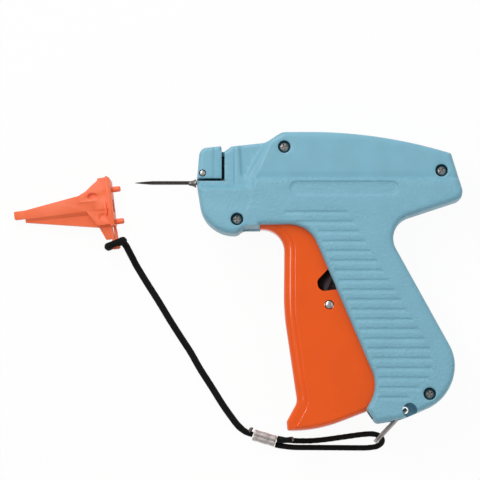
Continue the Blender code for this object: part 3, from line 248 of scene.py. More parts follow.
class Finishes(bpy.types.PropertyGroup):
    housing: colour("Housing", "Blue ABS of the shells", "7DB6CA")
    trigger: colour("Trigger", "Orange ABS of the trigger", "F55B06")
    cap: colour("Cap", "Orange polypropylene of the needle cap", "FF7444")
    cord: colour("Cord", "Black polyester braid", "060606")
    steel: colour("Steel", "Ground steel of pins and screws", "B9B9B7")
    screw: colour("Screws", "Zinc plated steel of the screws", "A8A6A2")
    # Painted shade: the lever and its pivot get a steel painted dark, in place of the shade deep inside the trigger's
    # window.
    lever: colour("Lever", "Blackened steel of the lever and its pivot", "3B3336")
    needle: colour("Needle", "Drawn steel of the needle", "7A7673")
    ferrule: colour("Ferrule", "Tinned steel of the ferrule", "C9C3C0")
    ring: colour("Ring", "Nickel plated steel of the lanyard ring", "B5B1AE")
    sealed: colour("Sealed end", "Melted polyester at the cut end of the cord", "7A6463")
    acetal: colour("Acetal", "White acetal of the slider and the feed wheel", "E6E3DA")
    floor: colour("Floor", "Floor under the gun", "F7F7F6")


# Outlines


def moved_corners(corners, inset):
    """The corners of an outline whose edges move inwards, by one distance or by one for each edge."""
    count = len(corners)
    insets = inset if isinstance(inset, list) else [inset] * count
    lines = []
    for i, (x, y, _) in enumerate(corners):
        to_x, to_y, _ = corners[(i + 1) % count]
        along = Vector((to_x - x, to_y - y)).normalized()
        lines.append((Vector((x, y)) + Vector((-along.y, along.x)) * insets[i], along))
    moved = []
    for i, (_, _, radius) in enumerate(corners):
        (p, before), (q, after) = lines[i - 1], lines[i]
        bend = before.cross(after)
        point = p + before * ((q - p).cross(after) / bend)
        grown = radius - math.copysign((insets[i - 1] + insets[i]) / 2, bend)
        moved.append((point.x, point.y, max(grown, 0.12) if radius else 0))
    return moved


def rounded(corners, inset=0.0, arc=math.radians(6), chord=1.2):
    """Points of an outline with round corners. The count of points doesn't depend on the inset."""
    moved = moved_corners(corners, inset) if inset else corners
    count = len(corners)
    points = []
    for i, (x, y, radius) in enumerate(corners):
        here = Vector(moved[i][:2])
        if not radius:
            points.append(here)
            continue
        before = (Vector((x, y)) - Vector(corners[i - 1][:2])).normalized()
        after = (Vector(corners[(i + 1) % count][:2]) - Vector((x, y))).normalized()
        turn = math.atan2(before.cross(after), before.dot(after))
        steps = max(2, math.ceil(abs(turn) / arc), math.ceil(radius * abs(turn) / chord))
        side, bend = math.copysign(1, turn), moved[i][2]
        centre = here - before * (bend * math.tan(abs(turn) / 2)) + Vector((-before.y, before.x)) * (side * bend)
        arm = Vector((before.y, -before.x)) * (side * bend)
        points += [centre + Matrix.Rotation(turn * k / steps, 2) @ arm for k in range(steps + 1)]
    return points


def divided(loops, spacing):
    """Closed loops with equally many points, each side cut into pieces no longer than a spacing."""
    done = [[] for _ in loops]
    count = len(loops[0])
    for i in range(count):
        pieces = max(1, math.ceil((loops[0][(i + 1) % count] - loops[0][i]).length / spacing))
        for made, loop in zip(done, loops):
            a, b = loop[i], loop[(i + 1) % count]
            made += [a.lerp(b, k / pieces) for k in range(pieces)]
    return done


def circle(centre, radius, sides=40):
    return [
        Vector((centre[0] + radius * math.cos(math.tau * k / sides), centre[1] + radius * math.sin(math.tau * k / sides)))
        for k in range(sides)
    ]


def sharp(points):
    return [(x, y, 0) for x, y in points]


def box_outline(low_x, low_y, high_x, high_y):
    return [Vector(p) for p in ((low_x, low_y), (high_x, low_y), (high_x, high_y), (low_x, high_y))]


# Meshes


def solid(name, points, faces):
    """An object from points in millimetres in the gun's frame."""
    mesh = bpy.data.meshes.new(name)
    mesh.from_pydata([(x * MM, y * MM, (w + HALF) * MM) for x, y, w in points], [], faces)
    mesh.update()
    made = bpy.data.objects.new(name, mesh)
    bpy.context.scene.collection.objects.link(made)
    return made


def stack(name, loops):
    """A closed solid through loops with equally many points, counter-clockwise seen from the last."""
    count = len(loops[0])
    faces = [tuple(reversed(range(count)))]
    for low in range(0, (len(loops) - 1) * count, count):
        faces += [
            (low + i, low + (i + 1) % count, low + count + (i + 1) % count, low + count + i) for i in range(count)
        ]
    top = (len(loops) - 1) * count
    faces.append(tuple(range(top, top + count)))
    return solid(name, [p for loop in loops for p in loop], faces)


def prism(outline, low, high, name="tool"):
    return stack(name, [[(p[0], p[1], w) for p in outline] for w in (low, high)])


def slab(low, high):
    return prism(box_outline(low[0], low[1], high[0], high[1]), low[2], high[2])


def pin(centre, radius, low, high, sides=40):
    return prism(circle(centre, radius, sides), low, high)


def turned(name, centre, profile, sides=40):
    """A solid turned about a line along w, from pairs of w and radius."""
    return stack(name, [[(p.x, p.y, w) for p in circle(centre, radius, sides)] for w, radius in profile])


def bar(y, w, profile, sides=32, name="tool"):
    """A solid turned about a line along x, from pairs of x and radius."""
    return stack(name, [[(x, p.x, p.y) for p in circle((y, w), radius, sides)] for x, radius in profile])


def combine(operation, target, tools):
    """Applies one Boolean after another to the target and removes the tools."""
    for tool in tools:
        modifier = target.modifiers.new(operation, "BOOLEAN")
        modifier.operation = operation
        modifier.object = tool
        graph = bpy.context.evaluated_depsgraph_get()
        made = bpy.data.meshes.new_from_object(target.evaluated_get(graph))
        target.modifiers.clear()
        target.data = made
        bpy.data.objects.remove(tool)
    return target


def merged(target, other):
    """Adds the mesh of another object to the target's, as it is, and removes the other."""
    mesh = bmesh.new()
    mesh.from_mesh(target.data)
    mesh.from_mesh(other.data)
    mesh.to_mesh(target.data)
    mesh.free()
    bpy.data.objects.remove(other)
    return target


def cut(target, *tools):
    return combine("DIFFERENCE", target, tools)


def join(target, *tools):
    return combine("UNION", target, tools)


def softened(target, width, segments=3, angle=40):
    """Rounds the edges of a solid that are sharper than an angle."""
    bevel = target.modifiers.new("edges", "BEVEL")
    bevel.width = width * MM
    bevel.segments = segments
    bevel.limit_method = "ANGLE"
    bevel.angle_limit = math.radians(angle)
    bevel.harden_normals = False
    graph = bpy.context.evaluated_depsgraph_get()
    made = bpy.data.meshes.new_from_object(target.evaluated_get(graph))
    target.modifiers.clear()
    target.data = made
    return target


def mirrored(target):
    """Turns a left-hand solid into a right-hand one, across the parting plane."""
    plane = Matrix.Translation((0, 0, HALF * MM))
    target.data.transform(plane @ Matrix.Scale(-1, 4, (0, 0, 1)) @ plane.inverted())
    target.data.flip_normals()
    return target


def dress(piece, finish, body, slot, *nodes, crease=32):
    """Gives a piece its material, smooth faces with sharp edges, its body and the nodes it stands for; the slot is not
    used.
    """
    piece.data.materials.clear()
    piece.data.materials.append(finish)
    if piece.type == "MESH":
        piece.data.shade_smooth()
        piece.data.set_sharp_from_angle(angle=math.radians(crease))
    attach(piece, body)
    if nodes:
        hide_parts(*nodes)
    return piece


# Materials


def add(tree, kind, inputs=None, **settings):
    """Adds a node, sets its properties, and fills its sockets from values or from other sockets."""
    made = tree.nodes.new(kind)
    for key, value in settings.items():
        setattr(made, key, value)
    for key, value in (inputs or {}).items():
        if isinstance(value, bpy.types.NodeSocket):
            tree.links.new(value, made.inputs[key])
        else:
            made.inputs[key].default_value = value
    return made


def new_material(name, **sockets):
    """A material whose shader has these values on its own sockets."""
    made = bpy.data.materials.new(name)
    made.use_nodes = True
    shader = made.node_tree.nodes["Principled BSDF"]
    for key, value in sockets.items():
        shader.inputs[key.replace("_", " ")].default_value = value
    return made, made.node_tree, shader


def shades(tree, place, base, spread, size, detail=3.0):
    """A colour that drifts between a darker and a lighter shade of a base, in patches of a size in mm."""
    drift = add(tree, "ShaderNodeTexNoise", {"Vector": place, "Scale": 1 / (size * MM), "Detail": detail})
    ramp = add(tree, "ShaderNodeValToRGB", {"Fac": drift.outputs["Fac"]})
    ramp.color_ramp.elements[0].position, ramp.color_ramp.elements[1].position = 0.3, 0.7
    for element, share in zip(ramp.color_ramp.elements, (1 - spread, 1 + spread)):
        element.color = (*[min(1, c * share) for c in base], 1)
    return ramp.outputs["Color"]


def ranged(tree, value, low, high):
    return add(tree, "ShaderNodeMapRange", {"Value": value, "To Min": low, "To Max": high}).outputs["Result"]


def housing_abs(base):
    """ABS, injection moulded in a tool that is spark-eroded below the upper panel and polished above it:
    a satin skin with a fine leather-like grain on the body and grip, smoother on the panel and nose."""
    made, tree, shader = new_material("moulded_blue_abs", IOR=1.53)
    place = add(tree, "ShaderNodeTexCoord").outputs["Object"]
    tree.links.new(shades(tree, place, base, 0.035, 9.0), shader.inputs["Base Color"])
    axes = add(tree, "ShaderNodeSeparateXYZ", {"Vector": place})
    below = add(
        tree,
        "ShaderNodeMapRange",
        {"Value": axes.outputs["Y"], "From Min": 0.0472, "From Max": 0.0484, "To Min": 1.0, "To Max": 0.12},
    ).outputs["Result"]
    # The real grain is about 0.3 mm; it is drawn at 1.1 mm so that it shows in the render.
    grain = add(tree, "ShaderNodeTexVoronoi", {"Vector": place, "Scale": 1 / (1.1 * MM)}, feature="SMOOTH_F1")
    fine = add(tree, "ShaderNodeTexNoise", {"Vector": place, "Scale": 1 / (0.5 * MM), "Detail": 2.0})
    both = add(tree, "ShaderNodeMath", {0: grain.outputs["Distance"], 1: fine.outputs["Fac"]}, operation="ADD")
    strength = add(tree, "ShaderNodeMath", {0: below, 1: 0.8}, operation="MULTIPLY")
    bump = add(
        tree,
        "ShaderNodeBump",
        {"Height": both.outputs[0], "Strength": strength.outputs[0], "Distance": 0.25 * MM},
    )
    tree.links.new(bump.outputs["Normal"], shader.inputs["Normal"])
    tree.links.new(ranged(tree, fine.outputs["Fac"], 0.36, 0.5), shader.inputs["Roughness"])
    return made


def trigger_abs(base):
    """ABS from a polished mould: glossy, with faint flow marks and a slight orange-peel ripple."""
    made, tree, shader = new_material("polished_orange_abs", IOR=1.53)
    place = add(tree, "ShaderNodeTexCoord").outputs["Object"]
    tree.links.new(shades(tree, place, base, 0.04, 18.0), shader.inputs["Base Color"])
    ripple = add(tree, "ShaderNodeTexNoise", {"Vector": place, "Scale": 1 / (4.0 * MM), "Detail": 2.0})
    bump = add(
        tree, "ShaderNodeBump", {"Height": ripple.outputs["Fac"], "Strength": 0.03, "Distance": 0.2 * MM}
    )
    tree.links.new(bump.outputs["Normal"], shader.inputs["Normal"])
    rub = add(tree, "ShaderNodeTexNoise", {"Vector": place, "Scale": 1 / (1.5 * MM), "Detail": 4.0})
    tree.links.new(ranged(tree, rub.outputs["Fac"], 0.12, 0.2), shader.inputs["Roughness"])
    return made


def cap_polypropylene(base):
    """Polypropylene, injection moulded: waxy and a little translucent, so thin edges glow."""
    made, tree, shader = new_material("moulded_orange_polypropylene", IOR=1.49, Subsurface_Weight=0.12)
    shader.inputs["Subsurface Radius"].default_value = (1.0, 0.35, 0.15)
    shader.inputs["Subsurface Scale"].default_value = 1.2 * MM
    place = add(tree, "ShaderNodeTexCoord").outputs["Object"]
    tree.links.new(shades(tree, place, base, 0.04, 7.0), shader.inputs["Base Color"])
    skin = add(tree, "ShaderNodeTexNoise", {"Vector": place, "Scale": 1 / (1.2 * MM), "Detail": 3.0})
    bump = add(
        tree, "ShaderNodeBump", {"Height": skin.outputs["Fac"], "Strength": 0.12, "Distance": 0.2 * MM}
    )
    tree.links.new(bump.outputs["Normal"], shader.inputs["Normal"])
    tree.links.new(ranged(tree, skin.outputs["Fac"], 0.36, 0.5), shader.inputs["Roughness"])
    return made


def ground_steel(name, base, grit, low, high, axis=(1, 1, 12)):
    """Carbon steel, ground: fine lines along the grinding, brighter and duller by turns."""
    made, tree, shader = new_material(name, Metallic=1.0)
    place = add(tree, "ShaderNodeTexCoord").outputs["Object"]
    tree.links.new(shades(tree, place, base, 0.12, 1.6), shader.inputs["Base Color"])
    drawn = add(tree, "ShaderNodeVectorMath", {0: place, 1: axis}, operation="MULTIPLY")
    lines = add(tree, "ShaderNodeTexNoise", {"Vector": drawn.outputs[0], "Scale": 1 / (grit * MM), "Detail": 4.0})
    tree.links.new(ranged(tree, lines.outputs["Fac"], low, high), shader.inputs["Roughness"])
    bump = add(
        tree, "ShaderNodeBump", {"Height": lines.outputs["Fac"], "Strength": 0.12, "Distance": 0.05 * MM}
    )
    tree.links.new(bump.outputs["Normal"], shader.inputs["Normal"])
    return made


def braided_polyester(base):
    """Polyester cord, braided: matt black yarn with a soft sheen on the crests of the strands."""
    made, tree, shader = new_material("braided_black_polyester", Roughness=0.85, Specular_IOR_Level=0.25)
    place = add(tree, "ShaderNodeTexCoord").outputs["Object"]
    tree.links.new(shades(tree, place, base, 0.35, 0.7), shader.inputs["Base Color"])
    yarn = add(tree, "ShaderNodeTexNoise", {"Vector": place, "Scale": 1 / (0.3 * MM), "Detail": 2.0})
    bump = add(
        tree, "ShaderNodeBump", {"Height": yarn.outputs["Fac"], "Strength": 0.35, "Distance": 0.15 * MM}
    )
    tree.links.new(bump.outputs["Normal"], shader.inputs["Normal"])
    return made


def melted_polyester(base):
    """Polyester yarn, cut hot: melted to a rough, slightly glossy skin."""
    made, tree, shader = new_material("melted_polyester", Roughness=0.55)
    place = add(tree, "ShaderNodeTexCoord").outputs["Object"]
    tree.links.new(shades(tree, place, base, 0.3, 0.6), shader.inputs["Base Color"])
    return made


def moulded_acetal(base):
    """Acetal, injection moulded: dense, slippery and waxy white."""
    made, tree, shader = new_material("moulded_white_acetal", IOR=1.48)
    place = add(tree, "ShaderNodeTexCoord").outputs["Object"]
    tree.links.new(shades(tree, place, base, 0.02, 5.0), shader.inputs["Base Color"])
    skin = add(tree, "ShaderNodeTexNoise", {"Vector": place, "Scale": 1 / (1.0 * MM), "Detail": 3.0})
    tree.links.new(ranged(tree, skin.outputs["Fac"], 0.3, 0.45), shader.inputs["Roughness"])
    return made


def white_paper(base):
    """Background paper, matt: it shows white to the camera and in reflections, and keeps a soft shadow."""
    made, tree, shader = new_material("white_paper", Roughness=0.9)
    place = add(tree, "ShaderNodeTexCoord").outputs["Object"]
    tree.links.new(shades(tree, place, base, 0.004, 60.0), shader.inputs["Base Color"])
    glow = add(tree, "ShaderNodeEmission", {"Color": (1, 1, 1, 1), "Strength": 1.0})
    path = add(tree, "ShaderNodeLightPath")
    seen = path.outputs["Is Camera Ray"]
    for ray in ("Is Glossy Ray", "Is Transmission Ray"):
        seen = add(tree, "ShaderNodeMath", {0: seen, 1: path.outputs[ray]}, operation="MAXIMUM").outputs[0]
    share = add(tree, "ShaderNodeMath", {0: seen, 1: 0.95}, operation="MULTIPLY").outputs[0]
    both = add(tree, "ShaderNodeMixShader", {"Fac": share, 1: shader.outputs["BSDF"], 2: glow.outputs["Emission"]})
    tree.links.new(both.outputs["Shader"], tree.nodes["Material Output"].inputs["Surface"])
    return made


def finish(name):
    """The material of a finish, made once."""
    colours = bpy.context.scene.gun_finishes
    makers = {
        "housing": lambda: housing_abs(colours.housing),
        "trigger": lambda: trigger_abs(colours.trigger),
        "cap": lambda: cap_polypropylene(colours.cap),
        "cord": lambda: braided_polyester(colours.cord),
        "steel": lambda: ground_steel("ground_steel", colours.steel, 0.4, 0.22, 0.42),
        "screw": lambda: ground_steel("zinc_plated_steel", colours.screw, 0.5, 0.35, 0.5),
        # The lever's steel is painted dark, as painted shade inside the trigger's window.
        "lever": lambda: ground_steel("window_shade_steel", colours.lever, 0.7, 0.4, 0.55),
        "needle": lambda: ground_steel("drawn_needle_steel", colours.needle, 0.6, 0.2, 0.4, (0.08, 1, 1)),
        "ring": lambda: ground_steel("nickel_plated_steel", colours.ring, 0.5, 0.3, 0.45),
        "sealed": lambda: melted_polyester(colours.sealed),
        "ferrule": lambda: ground_steel("tinned_steel", colours.ferrule, 0.9, 0.4, 0.6),
        "acetal": lambda: moulded_acetal(colours.acetal),
    }
    if name not in made_finishes:
        made_finishes[name] = makers[name]()
    return made_finishes[name]


made_finishes = {}


# The relief of the side face


def ramp(share, soft=0.25):
    """From 0 to 1 as a share does, with rounded ends."""
    share = np.asarray(share, float)
    low = (share + soft) ** 2 / (4 * soft)
    high = 1 - (1 + soft - share) ** 2 / (4 * soft)
    middle = np.clip(share, 0, 1)
    done = np.where(np.abs(share) < soft, low, middle)
    return np.clip(np.where(np.abs(share - 1) < soft, high, done), 0, 1)


def distance_inside(points, loop):
    """How far points are inside a closed loop, negative outside."""
    corners = np.array([(p[0], p[1]) for p in loop])
    ahead = np.roll(corners, -1, 0)
    best = np.full(len(points), 1e9)
    inside = np.zeros(len(points), bool)
    for a, b in zip(corners, ahead):
        way = b - a
        span = max(way @ way, 1e-12)
        along = np.clip(((points - a) @ way) / span, 0, 1)
        best = np.minimum(best, np.hypot(*(points - a - along[:, None] * way).T))
        crosses = (a[1] > points[:, 1]) != (b[1] > points[:, 1])
        rise = b[1] - a[1] if b[1] != a[1] else 1e-12
        at = a[0] + (points[:, 1] - a[1]) * way[0] / rise
        inside ^= crosses & (points[:, 0] < at)
    return np.where(inside, best, -best)


def near(points, loop, reach):
    """Which points lie within reach of a loop's box."""
    corners = np.array([(p[0], p[1]) for p in loop])
    low, high = corners.min(0) - reach, corners.max(0) + reach
    return np.all((points >= low) & (points <= high), axis=1)


def groove_corners(y, half):
    """A grip groove at a height: square at the trigger, slanted at the back."""
    start = -6.7 + (GROOVE_TOP - y) * 1.14 if y > 25.7 else min(17.8 - 0.429 * y, 36.4)
    end = min(41.65 - 0.602 * y, 61.4, 107.4 + 1.05 * y)
    lean = half * 0.6
    return [
        (start, y - 1.5 * half, 0.7),
        (end + 1.25 * lean, y - 1.5 * half, 0.5),
        (end - lean, y + half, 0.5),
        (start, y + half, 0.7),
    ]


def recesses():
    """The recesses of the side face: outline, depth, width of the rounded side, and whether it runs out below."""
    sizes = bpy.context.scene.gun_housing
    (px, py), half, radius = PLATE_CENTRE, PLATE_HALF, PLATE_RADIUS
    plate = [
        (px - half, py - radius, radius - 0.01),
        (px + half, py - radius, radius - 0.01),
        (px + half, py + radius, radius - 0.01),
        (px - half, py + radius, radius - 0.01),
    ]
    found = [(plate, sizes.plate_depth / MM, 0.6, False)]
    pocket = [(-28.3, 70.0, 0), (-26.9, 46.9, 2.0), (-23.6, 46.9, 2.2), (-10.8, 70.0, 0)]
    found.append((pocket, 1.25, 1.3, False))
    groove_half = sizes.groove_height / MM / 2
    for k in range(sizes.groove_count):
        corners = groove_corners(GROOVE_TOP - k * sizes.groove_pitch / MM, groove_half)
        found.append((corners, sizes.groove_depth / MM, 0.75, True))
    return found


def nose_distance(points):
    """How far points lie behind the foot of the slope between nose and body."""
    (ax, ay), (bx, by) = NOSE_LINE
    along = Vector((bx - ax, by - ay)).normalized()
    return (points[:, 0] - ax) * along.y - (points[:, 1] - ay) * along.x


def nose_share(points):
    """1 on the nose's upper side, 0 on the body."""
    return np.minimum(1 - ramp(nose_distance(points) / NOSE_RUN, 0.12), ramp((points[:, 1] - 42.0) / 1.3))


def side_height(points, depth):
    """Height of the side face over the parting plane at points that lie a depth inside the outline."""
    sizes = bpy.context.scene.gun_housing
    x, y = points.T
    nose = nose_share(points)
    dip = 0.5 * ramp((STEP_Y + 3.8 - y) / 2.9)
    panel = (0.5 + dip + 0.02 * np.maximum(0, y - STEP_Y)) * ramp((y - STEP_Y) / 0.9)
    height = np.minimum(HALF - panel, HALF - 2 * nose)
    height -= ramp((-29.3 - x) / 0.7) * ramp((y - 43.2) / 0.7)
    height -= 0.4 * ramp((x + 39.4) / 0.4) * ramp((-35.0 - x) / 0.2) * ramp((y - 46.2) / 0.5)
    chin = ramp((-20.9 - (41.7 - y) * 0.2 - x) / 1.0) * ramp((y - 30.5) / 5)
    height -= 0.4 * chin * (1 - nose)
    for corners, deep, soft, runs_out in recesses():
        loop = rounded(corners)
        close = near(points, loop, soft)
        share = ramp(distance_inside(points[close], loop) / soft)
        if runs_out:
            share *= np.clip((y[close] - corners[0][1]) / (corners[2][1] - corners[0][1]), 0, 1) ** 0.8
        height[close] -= deep * share
    for at in SCREWS.values():
        away = np.hypot(x - at[0], y - at[1]) - 2.9
        height -= 0.3 * (1 - ramp(away / 0.45))
    slot = np.minimum(np.abs(x - SLOT_BACK), np.abs(x - SLOT_FRONT)) + 9 * (y < SLOT_BOTTOM - 0.5)
    slot = np.minimum(slot, np.minimum(np.abs(y - SLOT_TOP), np.abs(y - SLOT_BOTTOM)) + 9 * (x > SLOT_BACK))
    height -= 0.3 * (1 - ramp(slot / 0.45))
    edge = sizes.edge_radius / MM + (sizes.nose_edge_radius - sizes.edge_radius) / MM * nose
    share = np.clip(1 - depth / edge, 0, 1)
    return height - edge * (1 - np.sqrt(1 - share**2))


def inside_runs(line, outline, margin):
    """The stretches of a line that lie inside an outline by more than a margin."""
    points = np.array([(p[0], p[1]) for p in line])
    kept = distance_inside(points, outline) > margin
    runs, run = [], []
    for point, keep in zip(points, kept):
        if keep:
            run.append(point)
        elif run:
            runs.append(run)
            run = []
    return runs + [run] if run else runs


def straight(a, b, spacing=0.8):
    a, b = Vector(a), Vector(b)
    count = max(2, math.ceil((b - a).length / spacing))
    return [a.lerp(b, k / count) for k in range(count + 1)]


def closed(loop):
    return list(loop) + [loop[0]]


def relief_lines(rim):
    """The lines along which the side face bends, so that the mesh follows them."""
    sizes = bpy.context.scene.gun_housing
    lines = []
    edge = sizes.edge_radius / MM
    for angle in (14, 28, 42, 56, 72, 90):
        inset = DRAFT + edge * (1 - math.cos(math.radians(angle)))
        loop = rounded(HOUSING_OUTLINE, inset)
        lines.append(closed(divided([loop], 1.0)[0]))
    for corners, _, soft, _ in recesses():
        for inset in (-0.25 * soft, 0.15 * soft, 0.5 * soft, 0.85 * soft, 1.25 * soft):
            lines.append(closed(divided([rounded(corners, inset)], 1.5)[0]))
    for at in SCREWS.values():
        lines += [closed(circle(at, 2.9 + lip)) for lip in (-0.1, 0.05, 0.2, 0.35, 0.55)]
    for lift in (-0.15, 0.1, 0.3, 0.5, 0.75):
        lines.append(straight((-29.3 - lift, 43.0), (-29.3 - lift, 66)))
        lines.append(straight((-50, 43.2 + lift), (-18, 43.2 + lift)))
    for lift in (-0.15, 0.1, 0.3, 0.6, 0.8, 1.0, 1.5, 2.4, 3.3, 4.0):
        lines.append(straight((-24, STEP_Y + lift), (78, STEP_Y + lift)))
    for lift in (-0.3, 0, 0.3, 0.6, 1.0, 1.4):
        lines.append(straight((-50, 42.0 + lift), (-10, 42.0 + lift)))
    (ax, ay), (bx, by) = NOSE_LINE
    along = (Vector((bx, by)) - Vector((ax, ay))).normalized()
    out = Vector((along.y, -along.x))
    for shift in (-0.5, -0.2, 0.2, 0.6, 1.8, 2.8, 3.2, 3.6, 4.0, 4.4, 4.8):
        foot = Vector((ax, ay)) + out * shift
        lines.append(straight(foot - along * 4, foot + along * 30))
    for lift in (-0.15, 0.1, 0.3, 0.5, 0.7, 0.9, 1.15):
        lines.append(straight((-20.84 - lift, 42.0), (-23.14 - lift, 30.5)))
    for x in (-39.5, -39.3, -39.1, -38.9):
        lines.append(straight((x, 46.5), (x, 64)))
    for lip in (0.02, 0.15, 0.3, 0.5):
        lines.append(straight((SLOT_BACK + lip, SLOT_BOTTOM - 1), (SLOT_BACK + lip, 64)))
        lines.append(straight((SLOT_FRONT - lip, SLOT_TOP), (SLOT_FRONT - lip, 64)))
        lines.append(straight((-50, SLOT_TOP + lip), (SLOT_FRONT, SLOT_TOP + lip)))
        lines.append(straight((-50, SLOT_BOTTOM - lip), (SLOT_BACK, SLOT_BOTTOM - lip)))
    return [run for line in lines for run in inside_runs(line, rim, 0.12)]


def housing_half(name):
    """The left half of the housing as a full solid, its side face meshed along its own features."""
    plain, rim = divided([rounded(HOUSING_OUTLINE), rounded(HOUSING_OUTLINE, DRAFT)], 0.6)
    count = len(rim)
    points = [tuple(p) for p in rim]
    edges = [(i, (i + 1) % count) for i in range(count)]
    for run in relief_lines(rim):
        start = len(points)
        points += [tuple(p) for p in run]
        edges += [(start + i, start + i + 1) for i in range(len(run) - 1)]
    spread = np.array([(x, y) for x in np.arange(-46, 77, 2.6) for y in np.arange(-66, 70, 2.6)])
    points += [tuple(p) for p in spread[distance_inside(spread, rim) > 0.6]]
    flat, _, faces, origins, _, _ = delaunay_2d_cdt([Vector(p) for p in points], edges, [], 1, 1e-5)
    spots = np.array([(p.x, p.y) for p in flat])
    depth = np.maximum(distance_inside(spots, rim), 0)
    place = {}
    for index, sources in enumerate(origins):
        for source in sources:
            if source < count:
                place[source] = index
    depth[list(place.values())] = 0
    heights = side_height(spots, depth)
    base = len(spots)
    shape = [(x, y, w) for (x, y), w in zip(spots, heights)] + [(p.x, p.y, PARTING) for p in plain]
    skin = [tuple(f) for f in faces]
    for i in range(count):
        after = (i + 1) % count
        skin.append((base + i, base + after, place[after], place[i]))
    skin.append(tuple(base + i for i in reversed(range(count))))
    return solid(name, shape, skin)


# Housing


def shell_hollow(screw_boss, extras):
    """The hollow of a left half: the inset outline and the trigger's bay, less bosses, ribs, rails and seats."""
    coarse = {"arc": math.radians(12), "chord": 3.0}
    hollow = prism(rounded(HOUSING_OUTLINE, WALL, **coarse), -1, 7.6, "hollow")
    deep = moved_corners(HOUSING_OUTLINE, WALL + DRAFT)[6:18]
    deep = [(-14.0, deep[0][1], 0)] + deep + [(-6.0, 62.5, 0), (-14.0, 50.0, 0)]
    join(hollow, prism(rounded(deep, **coarse), 6.6, HALF - WALL), prism(BAY_OUTLINE, -1, 9.2))
    kept = [
        slab((-42.6, 38.5, PARTING), (-37.0, 40.7, HALF)),
        slab((-42.6, 41.2, 4.8), (-37.0, 45.3, HALF)),
        slab((-19.0, 38.0, PARTING), (-17.0, 46.4, HALF)),
        slab((-15.0, 42.2, 7.6), (48.0, 43.8, HALF)),
        slab((-15.0, 47.4, 7.6), (48.0, 49.0, HALF)),
        slab((-19.0, 56.2, PARTING), (-16.0, 57.7, HALF)),
        slab((-19.0, 58.8, PARTING), (-16.0, 60.3, HALF)),
        pin(TRIGGER_PIVOT, 4.6, 9.1, HALF),
        pin(LEVER_PIVOT, 4.2, 9.1, HALF),
        pin(WHEEL_AT, 3.4, 2.8, HALF),
        pin(EYE_POCKET_AT, 5.2, -1, HALF),
    ]
    kept += [pin(at, screw_boss, -1, HALF) for at in SCREWS.values()]
    return cut(hollow, *kept, *extras)


def peg_socket(offset):
    return bar(NEEDLE_Y + offset, 0, [(-60, 1.6), (-41, 1.6)])


def common_holes():
    """The holes that both shells have, as tools for a left half."""
    side = Vector((-RING_WAY.y, RING_WAY.x)) * 1.7
    far = EYE_HOLE_AT + RING_WAY * 14
    return [
        pin(TRIGGER_PIVOT, 2.8, 0, 10.8),
        pin(LEVER_PIVOT, 2.05, 0, 10.7),
        pin(WHEEL_AT, 1.8, 0, 7.6),
        bar(NEEDLE_Y, 0, [(-25, 0.7), (-10, 0.7)]),
        bar(NEEDLE_Y, 0, [(-60, 1.2), (-44, 1.2)]),
        pin(EYE_POCKET_AT, 3.4, 1.2, 20),
        pin(EYE_HOLE_AT, 1.7, -1, 5),
        prism([EYE_HOLE_AT + side, EYE_HOLE_AT - side, far - side, far + side], 1.2, 8.6),
        peg_socket(-7.45),
    ]


def left_shell(half):
    tool = join(shell_hollow(4.6, []), *common_holes())
    nose = box_outline(-60, SLOT_BOTTOM, SLOT_BACK, 80)
    join(tool, prism(nose, -1, 20))
    for at in SCREWS.values():
        join(tool, turned("tool", at, [(5.6, 2.9), (20, 2.9)]))
        cut(tool, pin(at, 2.0, 4.0, 8.2))
        join(tool, pin(at, 1.6, -1, 9))
    chin = [(-27.5, 20.0), (-17.0, 20.0), (-17.0, 24.0), (-25.4, 24.0)]
    face = [(-27.5, 20.0), (-17.0, 20.0), (-17.0, 25.4), (-24.2, 25.4)]
    join(tool, stack("tool", [[(x, y, w) for x, y in loop] for loop, w in ((chin, PARTING - 0.1), (face, 12.0), (face, 14.0))]))
    return cut(half, tool)


def right_shell(half):
    knife = slab((-35.9, 42.6, 2.7), (-32.9, 47.2, HALF))
    boss = pin(NOSE_PIN_AT, 2.75, PARTING, HALF)
    post = pin((58.0, 39.5), 2.0, -2, HALF)
    tool = join(shell_hollow(3.4, [knife, boss, post]), *common_holes(), peg_socket(7.45))
    join(tool, pin(NOSE_PIN_AT, 1.65, -1, 6.3), *[pin(at, 1.6, -1, 7.5) for at in SCREWS.values()])
    shell = mirrored(cut(half, tool))
    return join(shell, pin((58.0, 39.5), 2.0, -11.3, 5.75))


def nose_block(half):
    block = prism(box_outline(-60, SLOT_TOP, SLOT_FRONT, 80), -1, 20)
    made = combine("INTERSECT", half, [block])
    return cut(made, pin(NOSE_PIN_AT, 1.65, -1, 20), peg_socket(7.45))


class TAGGUN_OT_housing(bpy.types.Operator):
    """Makes the two shells and the nose block"""

    bl_idname = "taggun.housing"
    bl_label = "Housing"

    def execute(self, context):
        half = housing_half("half")
        copies = []
        for name in ("left_shell_moulding", "right_shell_moulding", "nose_block_moulding"):
            copy = bpy.data.objects.new(name, half.data.copy())
            context.scene.collection.objects.link(copy)
            copies.append(copy)
        bpy.data.objects.remove(half)
        blue = finish("housing")
        dress(left_shell(copies[0]), blue, "housing", "blue_abs", "left_shell")
        dress(right_shell(copies[1]), blue, "housing", "blue_abs", "right_shell")
        dress(nose_block(copies[2]), blue, "housing", "blue_abs", "nose_block")
        return {"FINISHED"}


# Trigger


